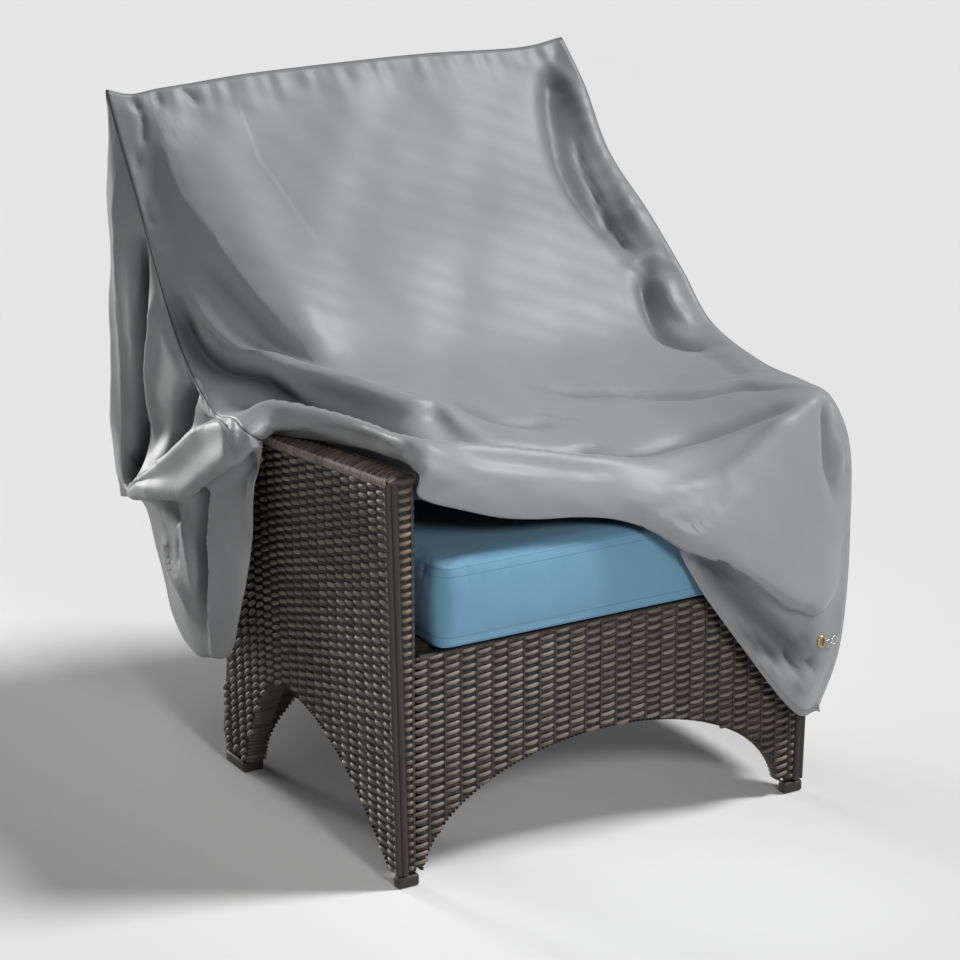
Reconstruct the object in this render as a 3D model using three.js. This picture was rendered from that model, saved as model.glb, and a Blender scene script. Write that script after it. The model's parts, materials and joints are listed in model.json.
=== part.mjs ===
// A grey fabric cover for a patio armchair, drawn part of the way over a plain woven armchair.
// Millimetres, +X to the sitter's left hand as seen from the front, +Y to the back, +Z up.
// The modelling frame has x = 0 in the middle of the chair, y = 0 at the front of the arms
// and z = 0 on the ground. The whole group is centred over its own footprint at the end.
import * as THREE from 'three';

// ---------- driving dimensions ----------

const CHAIR_HALF_WIDTH = 362;      // outer face of an arm, at the top
const ARM_INNER_X = 313;           // inner face of an arm panel
const LEG_INSET = 14;              // the outer faces lean in by this much down to the ground
const ARM_FRONT_HEIGHT = 607;      // top of the arm at the front
const ARM_FALL = 0.1;              // the arm drops this much for each unit towards the back
const ARM_BACK_Y = 600;            // where the arm meets the reclined back
const GLIDE_HEIGHT = 18;           // plastic glide under each leg
const CLEARANCE = 0.4;             // between neighbouring pieces

const SIDE_ARCH = { front: 14, crown: 330, back: 478, height: 190, frontPower: 2, backPower: 2.5 };
const FRONT_ARCH = { halfSpan: 307, height: 173 };
const REAR_LEG = { heel: [556, 46], waist: [524, 230], foot: 546 };
const ARCH_STEPS = 9;
const SOFT_EDGE = 4;               // rounding of the woven edges

const DECK_TOP = 347;
const DECK_THICKNESS = 26;
const APRON_THICKNESS = 29;
const REAR_APRON_FRONT = 488;
// Side outline of the reclined back, as [y, z] from its foot up the front face and down the rear.
const BACK_REST_OUTLINE = [
  [528, 348], [742, 924], [764, 964], [772, 981], [777, 988], [783, 985], [779, 950], [568, 348]];
const CUSHION = { halfWidth: 289, front: -11, back: 506, bottom: 347.5, thickness: 125, corner: 26, edge: 13 };

const CLOTH_THICKNESS = 1.6;
const SEAM_SETBACK = 2.1;          // from a seam line to the edge of the panel sewn there
const EDGE_PULL_POWER = 8;         // how fast the back panel leaves its neighbours' edges
const SHORT_DROP = 0.05;           // a first short step down a panel, to measure that setback
const ROW_STEPS = 3;               // mesh steps from one section of the front panel to the next
const COLUMN_STEPS = 3;            // and from one of its lines to the next
const STEPS_TO_FULL_FOLD = 3;      // mesh steps from a seam to where a soft fold reaches its full depth

// ---------- the front panel ----------
// Each row is one section across the cover, from the ridge over the chair back down to the hem.
// The columns are the same ten lines down the panel, each as [x, y, z].

const FRONT_LINES = [
  'leftSeam', 'leftArm', 'armMiddle', 'armFront', 'seatCorner',
  'leftSeat', 'middle', 'rightSeat', 'rightArm', 'rightSeam'];
const FRONT_SECTIONS = [
  { name: 'ridge', leftSeam: [-400, 786, 1006], leftArm: [-362, 783, 996], armMiddle: [-318, 782, 1000],
    armFront: [-260, 781, 1003], seatCorner: [-205, 782, 1006], leftSeat: [-150, 782, 1008],
    middle: [0, 783, 1009], rightSeat: [150, 783, 1008],
    rightArm: [318, 784, 1001], rightSeam: [400, 786, 1010] },
  { name: 'shoulder', leftSeam: [-392, 760, 935], leftArm: [-356, 755, 940], armMiddle: [-316, 740, 940],
    armFront: [-262, 730, 938], seatCorner: [-206, 726, 939], leftSeat: [-150, 722, 940],
    middle: [0, 716, 940], rightSeat: [150, 718, 940],
    rightArm: [318, 730, 938], rightSeam: [398, 712, 945] },
  { name: 'upper', leftSeam: [-387, 715, 850], leftArm: [-350, 702, 855], armMiddle: [-312, 662, 858],
    armFront: [-264, 634, 858], seatCorner: [-207, 631, 859], leftSeat: [-150, 628, 860],
    middle: [0, 622, 858], rightSeat: [150, 625, 858],
    rightArm: [312, 640, 850], rightSeam: [398, 638, 852] },
  { name: 'middle', leftSeam: [-387, 668, 775], leftArm: [-350, 630, 780], armMiddle: [-310, 568, 782],
    armFront: [-266, 525, 784], seatCorner: [-208, 522, 783], leftSeat: [-150, 520, 782],
    middle: [0, 516, 780], rightSeat: [150, 520, 778],
    rightArm: [312, 540, 770], rightSeam: [399, 522, 776] },
  { name: 'low', leftSeam: [-388, 616, 702], leftArm: [-352, 572, 712], armMiddle: [-312, 500, 722],
    armFront: [-266, 438, 722], seatCorner: [-208, 432, 717], leftSeat: [-150, 425, 712],
    middle: [0, 420, 706], rightSeat: [150, 425, 700],
    rightArm: [312, 448, 695], rightSeam: [400, 425, 703] },
  { name: 'bend', leftSeam: [-390, 566, 650], leftArm: [-352, 518, 662], armMiddle: [-308, 442, 664],
    armFront: [-250, 352, 654], seatCorner: [-198, 341, 651], leftSeat: [-145, 330, 648],
    middle: [0, 322, 640], rightSeat: [150, 332, 632],
    rightArm: [312, 350, 628], rightSeam: [402, 345, 638] },
  { name: 'seat', leftSeam: [-393, 512, 616], leftArm: [-348, 462, 640], armMiddle: [-290, 362, 646],
    armFront: [-222, 215, 634], seatCorner: [-176, 202, 624], leftSeat: [-130, 190, 614],
    middle: [0, 190, 600], rightSeat: [150, 192, 598],
    rightArm: [315, 205, 608], rightSeam: [404, 215, 608] },
  { name: 'trench', leftSeam: [-398, 455, 588], leftArm: [-338, 405, 594], armMiddle: [-286, 250, 562],
    armFront: [-250, 92, 566], seatCorner: [-200, 82, 584], leftSeat: [-142, 76, 596],
    middle: [0, 80, 574], rightSeat: [150, 90, 576],
    rightArm: [322, 105, 613], rightSeam: [408, 110, 604] },
  { name: 'crest', leftSeam: [-411, 402, 602], leftArm: [-352, 345, 620], armMiddle: [-312, 180, 632],
    armFront: [-304, 26, 643], seatCorner: [-240, 22, 629], leftSeat: [-150, 20, 608],
    middle: [0, 16, 573], rightSeat: [150, 8, 552],
    rightArm: [332, 8, 622], rightSeam: [410, 44, 594] },
  { name: 'face', leftSeam: [-426, 320, 594], leftArm: [-358, 318, 604], armMiddle: [-318, 165, 616],
    armFront: [-312, -6, 630], seatCorner: [-238, -10, 590], leftSeat: [-152, -10, 566],
    middle: [0, -18, 532], rightSeat: [150, -58, 500],
    rightArm: [332, -28, 575], rightSeam: [410, -4, 530] },
  { name: 'lip', leftSeam: [-372, 345, 580], leftArm: [-345, 335, 588], armMiddle: [-318, 156, 604],
    armFront: [-314, -6, 615], seatCorner: [-304, -9, 574], leftSeat: [-150, -6, 520],
    middle: [10, -20, 492], rightSeat: [152, -70, 418],
    rightArm: [318, -60, 330], rightSeam: [406, -16, 400] },
  { name: 'tuck', leftSeam: [-376, 362, 576], leftArm: [-340, 350, 573.3], armMiddle: [-312, 166, 600],
    armFront: [-309, 8, 611], seatCorner: [-296, 6, 575], leftSeat: [-146, 8, 524],
    middle: [16, -2, 499], rightSeat: [146, -36, 442],
    rightArm: [304, -38, 310], rightSeam: [400, -20, 300] },
  { name: 'skirt', leftSeam: [-378, 376, 576], leftArm: [-336, 362, 582], armMiddle: [-308, 178, 606],
    armFront: [-305, 16, 613], seatCorner: [-290, 14, 585], leftSeat: [-144, 8, 540],
    middle: [24, -8, 509], rightSeat: [150, -34, 388],
    rightArm: [312, -36, 232], rightSeam: [392, -14, 210] },
  { name: 'hem', leftSeam: [-380, 390, 576], leftArm: [-333, 372, 581], armMiddle: [-304, 182, 619],
    armFront: [-301, 24, 619], seatCorner: [-286, 20, 595], leftSeat: [-140, 6, 552],
    middle: [30, -14, 519], rightSeat: [153, -30, 341],
    rightArm: [296, -30, 154], rightSeam: [366, -4, 126] },
];

// ---------- the left side panel ----------
// Each row is one section down the panel; seamAt counts the front panel's rows down to where it starts.

const LEFT_LINES = ['upper', 'lower', 'valley', 'crest', 'rollFace', 'rollEdge', 'tuck', 'skirt', 'hem'];
const LEFT_SECTIONS = [
  { name: 'back edge', seamAt: 0, upper: [-398, 792, 860], lower: [-397, 804, 680], valley: [-399, 808, 540],
    crest: [-401, 806, 480], rollFace: [-402, 800, 440], rollEdge: [-402, 792, 410],
    tuck: [-401, 789, 395], skirt: [-400, 787, 382], hem: [-400, 785, 368] },
  { name: 'back fold', seamAt: 1.2, upper: [-404, 742, 770], lower: [-396, 738, 610], valley: [-388, 732, 480],
    crest: [-402, 722, 440], rollFace: [-416, 706, 420], rollEdge: [-416, 700, 402],
    tuck: [-404, 700, 392], skirt: [-400, 700, 382], hem: [-398, 700, 372] },
  { name: 'back pleat', seamAt: 2.4, upper: [-398, 670, 700], lower: [-398, 655, 590], valley: [-386, 640, 510],
    crest: [-420, 612, 482], rollFace: [-440, 590, 452], rollEdge: [-438, 578, 424],
    tuck: [-406, 592, 408], skirt: [-408, 618, 320], hem: [-402, 610, 222] },
  { name: 'mid pleat', seamAt: 3.4, upper: [-402, 604, 655], lower: [-398, 575, 588], valley: [-390, 545, 540],
    crest: [-426, 512, 524], rollFace: [-450, 484, 494], rollEdge: [-444, 472, 460],
    tuck: [-404, 510, 440], skirt: [-416, 535, 320], hem: [-405, 530, 196] },
  { name: 'front pleat', seamAt: 4.4, upper: [-396, 545, 618], lower: [-396, 515, 586], valley: [-393, 478, 562],
    crest: [-426, 448, 562], rollFace: [-450, 410, 532], rollEdge: [-440, 402, 492],
    tuck: [-398, 446, 470], skirt: [-412, 470, 330], hem: [-404, 466, 206] },
  { name: 'arm back', seamAt: 5.6, upper: [-399, 500, 598], lower: [-402, 470, 580], valley: [-405, 440, 571],
    crest: [-422, 408, 585], rollFace: [-442, 366, 562], rollEdge: [-428, 348, 522],
    tuck: [-392, 392, 500], skirt: [-402, 412, 380], hem: [-400, 402, 240] },
  { name: 'arm', seamAt: 7.2, upper: [-409, 430, 577], lower: [-415, 414, 579], valley: [-419, 400, 582],
    crest: [-426, 378, 582], rollFace: [-431, 340, 570], rollEdge: [-408, 325, 548],
    tuck: [-384, 352, 530], skirt: [-392, 366, 460], hem: [-396, 350, 390] },
  { name: 'elbow', seamAt: 8.8, upper: [-426, 330, 582], lower: [-428, 326, 574], valley: [-427, 322, 568],
    crest: [-424, 320, 562], rollFace: [-418, 316, 556], rollEdge: [-404, 315, 548],
    tuck: [-390, 330, 542], skirt: [-390, 340, 520], hem: [-392, 334, 490] },
  { name: 'corner', seamAt: 10, upper: [-384, 338, 573], lower: [-388, 334, 570], valley: [-391, 331, 567],
    crest: [-393, 328, 564], rollFace: [-394, 325, 560], rollEdge: [-392, 322, 556],
    tuck: [-388, 320, 552], skirt: [-386, 318, 548], hem: [-384, 316, 544] },
];

// ---------- the right side panel and the back panel ----------

const RIGHT_LINES = ['upper', 'waist', 'lower', 'hem'];
const RIGHT_SECTIONS = [
  { name: 'back edge', seamAt: 0, upper: [402, 796, 800], waist: [406, 802, 560], lower: [408, 806, 320], hem: [406, 808, 130] },
  { name: 'back fold', seamAt: 1.5, upper: [396, 680, 730], waist: [392, 690, 520], lower: [398, 700, 300], hem: [402, 705, 120] },
  { name: 'middle fold', seamAt: 3, upper: [404, 540, 660], waist: [412, 560, 480], lower: [414, 580, 290], hem: [410, 585, 112] },
  { name: 'seat fold', seamAt: 5, upper: [400, 370, 560], waist: [398, 400, 430], lower: [402, 420, 270], hem: [404, 425, 106] },
  { name: 'arm fold', seamAt: 7, upper: [412, 150, 530], waist: [414, 190, 410], lower: [416, 220, 260], hem: [412, 230, 102] },
  { name: 'front fold', seamAt: 9, upper: [410, 24, 470], waist: [410, 60, 370], lower: [410, 90, 250], hem: [404, 100, 100] },
  { name: 'front corner', seamAt: 13, upper: [370, -1, 124], waist: [375, 3, 121], lower: [381, 9, 117], hem: [388, 18, 112] },
];

const BACK_LINES = ['shoulder', 'waist', 'lower', 'hem'];
const BACK_SECTIONS = [
  { name: 'left edge', seamAt: 0, shoulder: [-396, 800, 850], waist: [-396, 812, 640], lower: [-397, 812, 480], hem: [-396, 796, 366] },
  { name: 'left fold', seamAt: 4, shoulder: [-225, 826, 845], waist: [-225, 842, 620], lower: [-228, 846, 420], hem: [-230, 838, 300] },
  { name: 'middle fold', seamAt: 6, shoulder: [0, 822, 840], waist: [0, 826, 590], lower: [0, 832, 360], hem: [0, 834, 210] },
  { name: 'right fold', seamAt: 7.4, shoulder: [225, 826, 835], waist: [222, 846, 570], lower: [226, 850, 330], hem: [228, 846, 150] },
  { name: 'right edge', seamAt: 9, shoulder: [399, 802, 800], waist: [402, 812, 560], lower: [404, 816, 320], hem: [402, 818, 130] },
];

// ---------- soft folds: each is a line through three places, pushed out (+) or in (-) ----------

const FRONT_FOLDS = [
  { name: 'right trough', start: [366, 700, 915], via: [316, 610, 828], end: [330, 455, 712], width: 42, depth: -17 },
  { name: 'right hollow', start: [322, 440, 700], via: [304, 370, 655], end: [336, 305, 618], width: 26, depth: -15 },
  { name: 'right ridge', start: [380, 700, 930], via: [368, 520, 790], end: [372, 380, 660], width: 26, depth: 12 },
  { name: 'left stile', start: [-330, 760, 950], via: [-305, 620, 830], end: [-285, 450, 725], width: 44, depth: 10 },
  { name: 'seat trough', start: [330, 60, 602], via: [200, 150, 590], end: [60, 210, 602], width: 26, depth: -9 },
  { name: 'arm trough', start: [330, 30, 596], via: [180, 60, 570], end: [40, 70, 578], width: 24, depth: -9 },
  { name: 'front bulge', start: [120, -50, 500], via: [210, -60, 450], end: [300, -50, 360], width: 60, depth: 16 },
];
const LEFT_FOLDS = [
  { name: 'back trough', start: [-396, 716, 800], via: [-396, 745, 600], end: [-390, 728, 440], width: 22, depth: -16 },
  { name: 'slant trough', start: [-394, 560, 640], via: [-394, 590, 580], end: [-392, 640, 500], width: 20, depth: -12 },
  { name: 'pleat ridge', start: [-414, 470, 420], via: [-414, 468, 330], end: [-408, 466, 215], width: 18, depth: 12 },
  { name: 'pleat valley', start: [-410, 520, 430], via: [-412, 510, 330], end: [-408, 495, 270], width: 18, depth: -14 },
];
const RIGHT_FOLDS = [
  { name: 'back trough', start: [398, 700, 760], via: [398, 690, 500], end: [400, 690, 200], width: 34, depth: -14 },
  { name: 'seat trough', start: [402, 440, 620], via: [402, 420, 400], end: [404, 420, 160], width: 32, depth: -14 },
];
const BACK_FOLDS = [
  { name: 'left trough', start: [-110, 806, 940], via: [-120, 826, 620], end: [-120, 830, 300], width: 40, depth: -14 },
  { name: 'right trough', start: [130, 806, 940], via: [120, 830, 560], end: [120, 830, 220], width: 40, depth: -14 },
];

// ---------- eyelet, link and ring at the front panel's right corner ----------

const EYELET = { row: 11.6, column: 8.4, radius: 7.4, tube: 1.8 };
const LINK = { from: 4, to: 20, radius: 0.8 };
const RING = { along: 24.5, radius: 6.2, tube: 0.9 };

// ---------- materials ----------

const material = (color, roughness, metalness = 0) =>
  new THREE.MeshStandardMaterial({ color, roughness, metalness });
const GREY_CLOTH = material(0x9b9d9f, 0.75);
const WOVEN_STRAND = material(0x4a423a, 0.6);
const BLUE_CANVAS = material(0x5f97b3, 0.85);
const DARK_PLASTIC = material(0x2a2523, 0.5);
const BRASS = material(0xc9a14a, 0.3, 1);
const BRIGHT_STEEL = material(0xd4d6d8, 0.25, 1);

// ---------- splines and sheets ----------

const cubic = (a, b, c, d, t) =>
  0.5 * (2 * b + (c - a) * t + (2 * a - 5 * b + 4 * c - d) * t * t + (3 * b - a - 3 * c + d) * t * t * t);

// The value at position s along a row of control values, which may be numbers or [x, y, z].
function alongSpline(controls, s) {
  const last = controls.length - 1;
  const index = Math.min(Math.floor(s), last - 1);
  const t = s - index;
  const pick = (k) => {
    if (k < 0) return extend(controls[0], controls[1]);
    if (k > last) return extend(controls[last], controls[last - 1]);
    return controls[k];
  };
  const [a, b, c, d] = [pick(index - 1), pick(index), pick(index + 1), pick(index + 2)];
  if (typeof b === 'number') return cubic(a, b, c, d, t);
  return b.map((_, axis) => cubic(a[axis], b[axis], c[axis], d[axis], t));
}

const extend = (end, before) =>
  typeof end === 'number' ? 2 * end - before : end.map((value, axis) => 2 * value - before[axis]);

// A place on the front panel: row counts the sections down, column the lines across.
function frontPlace(row, column) {
  const acrossRow = FRONT_LINES.map((line) => alongSpline(FRONT_SECTIONS.map((section) => section[line]), row));
  return alongSpline(acrossRow, column);
}

// A place on a panel hung from a seam: drop counts its lines from that sewn edge.
function hungPlace(sections, lines, seam, seamPlace, drop) {
  const station = stationAt(sections, seamPlace);
  const downLine = [seam(seamPlace)];
  for (const line of lines) downLine.push(alongSpline(sections.map((section) => section[line]), station));
  return alongSpline(downLine, drop);
}

const LAST_FRONT_COLUMN = FRONT_LINES.length - 1;
const LAST_FRONT_ROW = FRONT_SECTIONS.length - 1;

// The station, counted in a panel's own sections, where its sewn edge reaches a place on the seam.
function stationAt(sections, seamPlace) {
  const last = sections.length - 2;
  let index = 0;
  while (index < last && sections[index + 1].seamAt < seamPlace) index += 1;
  const [from, to] = [sections[index].seamAt, sections[index + 1].seamAt];
  return index + (seamPlace - from) / (to - from);
}

const leftSeam = (seamPlace) => frontPlace(seamPlace, 0);
const rightSeam = (seamPlace) => frontPlace(seamPlace, LAST_FRONT_COLUMN);
const ridgeSeam = (seamPlace) => frontPlace(0, seamPlace);

// How far the soft folds push a place on the cloth.
function foldPush(folds, place) {
  let push = 0;
  for (const { start, via, end, width, depth } of folds) {
    const [from, middle, to] = [start, via, end].map((corner) => new THREE.Vector3(...corner));
    const legs = [new THREE.Line3(from, middle), new THREE.Line3(middle, to)];
    const gaps = legs.map((leg) => leg.closestPointToPoint(place, true, new THREE.Vector3()).distanceTo(place));
    push += depth * Math.exp(-((Math.min(...gaps) / width) ** 2));
  }
  return push;
}

// A closed thin sheet over a grid of places, with half its thickness on each side. Folds push it
// along its outward normal, except at its sewn edges, given as the grid sides first/last row/column.
function sheetSolid({ placeAt, rows, columns, folds, outward, sewn }) {
  const grid = [];
  for (let i = 0; i <= rows; i += 1) {
    grid.push([]);
    for (let j = 0; j <= columns; j += 1) grid[i].push(new THREE.Vector3(...placeAt(i / rows, j / columns)));
  }
  const stepsFromSeam = (i, j) => Math.min(
    sewn.includes('firstRow') ? i : rows, sewn.includes('lastRow') ? rows - i : rows,
    sewn.includes('firstColumn') ? j : columns, sewn.includes('lastColumn') ? columns - j : columns);
  const creased = grid.map((line, i) => line.map((place, j) => {
    const share = Math.min(1, stepsFromSeam(i, j) / STEPS_TO_FULL_FOLD);
    return place.clone().addScaledVector(gridNormal(grid, i, j, outward), share * foldPush(folds, place));
  }));
  const faces = [[], []];
  creased.forEach((line, i) => line.forEach((place, j) => {
    const normal = gridNormal(creased, i, j, outward);
    faces[0].push(place.clone().addScaledVector(normal, CLOTH_THICKNESS / 2));
    faces[1].push(place.clone().addScaledVector(normal, -CLOTH_THICKNESS / 2));
  }));
  return closedSheet(faces, rows, columns, outward);
}

function gridNormal(grid, i, j, outward) {
  const above = grid[Math.max(i - 1, 0)][j];
  const below = grid[Math.min(i + 1, grid.length - 1)][j];
  const before = grid[i][Math.max(j - 1, 0)];
  const after = grid[i][Math.min(j + 1, grid[i].length - 1)];
  const down = below.clone().sub(above);
  const across = after.clone().sub(before);
  return down.cross(across).normalize().multiplyScalar(outward);
}

function closedSheet(faces, rows, columns, outward) {
  const count = (rows + 1) * (columns + 1);
  const positions = faces.flat().flatMap((place) => place.toArray());
  const at = (side, i, j) => side * count + i * (columns + 1) + j;
  const triangles = [];
  const quad = (a, b, c, d) => {
    if (outward > 0) triangles.push(a, b, c, a, c, d);
    else triangles.push(a, c, b, a, d, c);
  };
  for (let i = 0; i < rows; i += 1) {
    for (let j = 0; j < columns; j += 1) {
      quad(at(0, i, j), at(0, i + 1, j), at(0, i + 1, j + 1), at(0, i, j + 1));
      quad(at(1, i, j), at(1, i, j + 1), at(1, i + 1, j + 1), at(1, i + 1, j));
    }
  }
  const rim = [];
  for (let j = 0; j < columns; j += 1) rim.push([0, j]);
  for (let i = 0; i < rows; i += 1) rim.push([i, columns]);
  for (let j = columns; j > 0; j -= 1) rim.push([rows, j]);
  for (let i = rows; i > 0; i -= 1) rim.push([i, 0]);
  rim.forEach(([i, j], k) => {
    const [p, q] = rim[(k + 1) % rim.length];
    quad(at(0, i, j), at(0, p, q), at(1, p, q), at(1, i, j));
  });
  const geometry = new THREE.BufferGeometry();
  geometry.setAttribute('position', new THREE.Float32BufferAttribute(positions, 3));
  geometry.setIndex(triangles);
  return geometry;
}

// ---------- the cover ----------

const group = new THREE.Group();

function add(name, geometry, finish) {
  const mesh = new THREE.Mesh(geometry, finish);
  mesh.name = name;
  group.add(mesh);
  return mesh;
}

// A place on a hung panel that leaves its seam by the setback; across and down run from 0 to 1.
function hungPlaceAt({ sections, lines, seam }, across, down) {
  const seamPlace = across * sections[sections.length - 1].seamAt;
  const at = (drop) => hungPlace(sections, lines, seam, seamPlace, drop);
  const between = (from, to) => new THREE.Vector3(...to).sub(new THREE.Vector3(...from));
  const alongSeam = between(seam(seamPlace - SHORT_DROP), seam(seamPlace + SHORT_DROP)).normalize();
  const stepFromSeam = between(at(0), at(SHORT_DROP)).cross(alongSeam).length();
  const setback = (SHORT_DROP * SEAM_SETBACK) / stepFromSeam;
  return at(setback + (lines.length - setback) * down);
}

const LEFT_PANEL = { sections: LEFT_SECTIONS, lines: LEFT_LINES, seam: leftSeam };
const RIGHT_PANEL = { sections: RIGHT_SECTIONS, lines: RIGHT_LINES, seam: rightSeam };
const BACK_PANEL = { sections: BACK_SECTIONS, lines: BACK_LINES, seam: ridgeSeam };

// The back panel's two upright edges follow the back edges of the side panels.
function backPlaceAt(across, down) {
  const place = hungPlaceAt(BACK_PANEL, across, down);
  for (const [panel, edge, inward] of [[LEFT_PANEL, 0, 1], [RIGHT_PANEL, 1, -1]]) {
    const pull = (1 - Math.abs(across - edge)) ** EDGE_PULL_POWER;
    const beside = hungPlaceAt(panel, 0, down);
    const own = hungPlaceAt(BACK_PANEL, edge, down);
    beside[0] += inward * SEAM_SETBACK;
    place.forEach((value, axis) => { place[axis] = value + pull * (beside[axis] - own[axis]); });
  }
  return place;
}

function cover() {
  const seamSteps = (sections) => sections[sections.length - 1].seamAt * ROW_STEPS;
  add('cover_front_panel', sheetSolid({
    placeAt: (down, across) => frontPlace(down * LAST_FRONT_ROW, across * LAST_FRONT_COLUMN),
    rows: LAST_FRONT_ROW * ROW_STEPS, columns: LAST_FRONT_COLUMN * COLUMN_STEPS,
    folds: FRONT_FOLDS, outward: 1, sewn: ['firstRow', 'firstColumn', 'lastColumn'] }), GREY_CLOTH);
  add('cover_left_side_panel', sheetSolid({
    placeAt: (across, down) => hungPlaceAt(LEFT_PANEL, across, down),
    rows: seamSteps(LEFT_SECTIONS), columns: 22,
    folds: LEFT_FOLDS, outward: 1, sewn: ['firstRow', 'firstColumn'] }), GREY_CLOTH);
  add('cover_right_side_panel', sheetSolid({
    placeAt: (across, down) => hungPlaceAt(RIGHT_PANEL, across, down),
    rows: seamSteps(RIGHT_SECTIONS), columns: 7,
    folds: RIGHT_FOLDS, outward: -1, sewn: ['firstRow', 'firstColumn'] }), GREY_CLOTH);
  add('cover_back_panel', sheetSolid({
    placeAt: backPlaceAt, rows: LAST_FRONT_COLUMN * COLUMN_STEPS, columns: 8,
    folds: BACK_FOLDS, outward: -1, sewn: ['firstRow', 'lastRow', 'firstColumn'] }), GREY_CLOTH);
}

// The eyelet lies on the front panel's face. The link reaches out of it over its rim to the ring.
function cornerTrim() {
  const { row, column } = EYELET;
  const place = new THREE.Vector3(...frontPlace(row, column));
  const towards = (nextRow, nextColumn) => new THREE.Vector3(...frontPlace(nextRow, nextColumn)).sub(place);
  const across = towards(row, column + SHORT_DROP).normalize();
  const normal = towards(row + SHORT_DROP, column).cross(across).normalize();
  const upright = normal.clone().cross(across);
  const onCloth = new THREE.Matrix4().makeBasis(across, upright, normal)
    .setPosition(place.addScaledVector(normal, CLOTH_THICKNESS / 2 + CLEARANCE));
  const ringOf = ({ radius, tube }) => new THREE.TorusGeometry(radius, tube, 8, 24).translate(0, 0, tube);
  add('brass_eyelet', ringOf(EYELET).applyMatrix4(onCloth), BRASS);
  const linkHeight = 2 * EYELET.tube + CLEARANCE + LINK.radius;
  const link = new THREE.CapsuleGeometry(LINK.radius, LINK.to - LINK.from, 3, 8).rotateZ(Math.PI / 2);
  link.translate((LINK.from + LINK.to) / 2, 0, linkHeight);
  add('steel_link', link.applyMatrix4(onCloth), BRIGHT_STEEL);
  const ring = ringOf(RING).translate(RING.along, 0, linkHeight - LINK.radius - CLEARANCE - 2 * RING.tube);
  add('steel_ring', ring.applyMatrix4(onCloth), BRIGHT_STEEL);
}

// ---------- the armchair ----------

// An outline given a thickness and rounded edges, within the outline and the thickness.
function softEdgedSlab(shape, thickness) {
  const geometry = new THREE.ExtrudeGeometry(shape, { depth: thickness - 2 * SOFT_EDGE,
    bevelThickness: SOFT_EDGE, bevelSize: SOFT_EDGE, bevelOffset: -SOFT_EDGE, bevelSegments: 2 });
  return geometry.translate(0, 0, SOFT_EDGE);
}

// A closed outline pushed out along +X, from x = low to x = high. Points are [y, z].
function slabAlongX(outline, low, high) {
  const shape = new THREE.Shape(outline.map(([y, z]) => new THREE.Vector2(y, z)));
  const geometry = softEdgedSlab(shape, high - low);
  const toYZ = new THREE.Matrix4().makeBasis(
    new THREE.Vector3(0, 1, 0), new THREE.Vector3(0, 0, 1), new THREE.Vector3(1, 0, 0));
  return geometry.applyMatrix4(toYZ).translate(low, 0, 0);
}

// The same along +Y, from y = low to y = high. Points are [x, z].
function slabAlongY(outline, low, high) {
  const shape = new THREE.Shape(outline.map(([x, z]) => new THREE.Vector2(x, z)));
  const geometry = softEdgedSlab(shape, high - low);
  return geometry.rotateX(Math.PI / 2).translate(0, high, 0);
}

// Side arch from its back foot over the crown to its front foot, as [y, z] above the glides.
function sideArch() {
  const { front, crown, back, height, frontPower, backPower } = SIDE_ARCH;
  const points = [];
  const stretch = (foot, power, t) => [crown + (foot - crown) * t, height * (1 - t ** power)];
  const footShare = (power) => (1 - GLIDE_HEIGHT / height) ** (1 / power);
  for (let k = 0; k <= ARCH_STEPS; k += 1) {
    points.push(stretch(back, backPower, footShare(backPower) * (1 - k / ARCH_STEPS)));
  }
  for (let k = 1; k <= ARCH_STEPS; k += 1) points.push(stretch(front, frontPower, (footShare(frontPower) * k) / ARCH_STEPS));
  return points;
}

// Half-elliptical arch under an apron, from +X to -X, as [x, z].
function apronArch() {
  const { halfSpan, height } = FRONT_ARCH;
  const footAngle = Math.asin(GLIDE_HEIGHT / height);
  const points = [];
  for (let k = 0; k <= 2 * ARCH_STEPS; k += 1) {
    const angle = footAngle + ((Math.PI - 2 * footAngle) * k) / (2 * ARCH_STEPS);
    points.push([halfSpan * Math.cos(angle), height * Math.sin(angle)]);
  }
  return points;
}

function sidePanel(name, side) {
  const armBackHeight = ARM_FRONT_HEIGHT - ARM_FALL * ARM_BACK_Y;
  const outline = [[0, GLIDE_HEIGHT], [0, ARM_FRONT_HEIGHT], [ARM_BACK_Y, armBackHeight],
    REAR_LEG.waist, REAR_LEG.heel, [REAR_LEG.foot, GLIDE_HEIGHT], ...sideArch()];
  const geometry = slabAlongX(outline.reverse(), ARM_INNER_X, CHAIR_HALF_WIDTH);
  const position = geometry.attributes.position;
  for (let k = 0; k < position.count; k += 1) {
    const outwards = (position.getX(k) - ARM_INNER_X) / (CHAIR_HALF_WIDTH - ARM_INNER_X);
    const inset = LEG_INSET * (1 - position.getZ(k) / ARM_FRONT_HEIGHT);
    position.setX(k, position.getX(k) - inset * outwards);
  }
  add(name, mirroredTo(side, geometry), WOVEN_STRAND);
}

// A geometry drawn on the +X side, or its mirror image on the -X side.
function mirroredTo(side, geometry) {
  if (side > 0) return geometry;
  geometry.scale(-1, 1, 1);
  const flat = geometry.index ? geometry.toNonIndexed() : geometry;
  const position = flat.attributes.position;
  const corner = (k) => new THREE.Vector3().fromBufferAttribute(position, k);
  for (let k = 0; k < position.count; k += 3) {
    const [second, third] = [corner(k + 1), corner(k + 2)];
    position.setXYZ(k + 1, ...third);
    position.setXYZ(k + 2, ...second);
  }
  return flat;
}

function apron(name, front) {
  const edge = ARM_INNER_X - CLEARANCE;
  const top = DECK_TOP - CLEARANCE;
  const outline = [[-edge, GLIDE_HEIGHT], [-edge, top], [edge, top], [edge, GLIDE_HEIGHT], ...apronArch()];
  add(name, slabAlongY(outline.reverse(), front, front + APRON_THICKNESS), WOVEN_STRAND);
}

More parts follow.
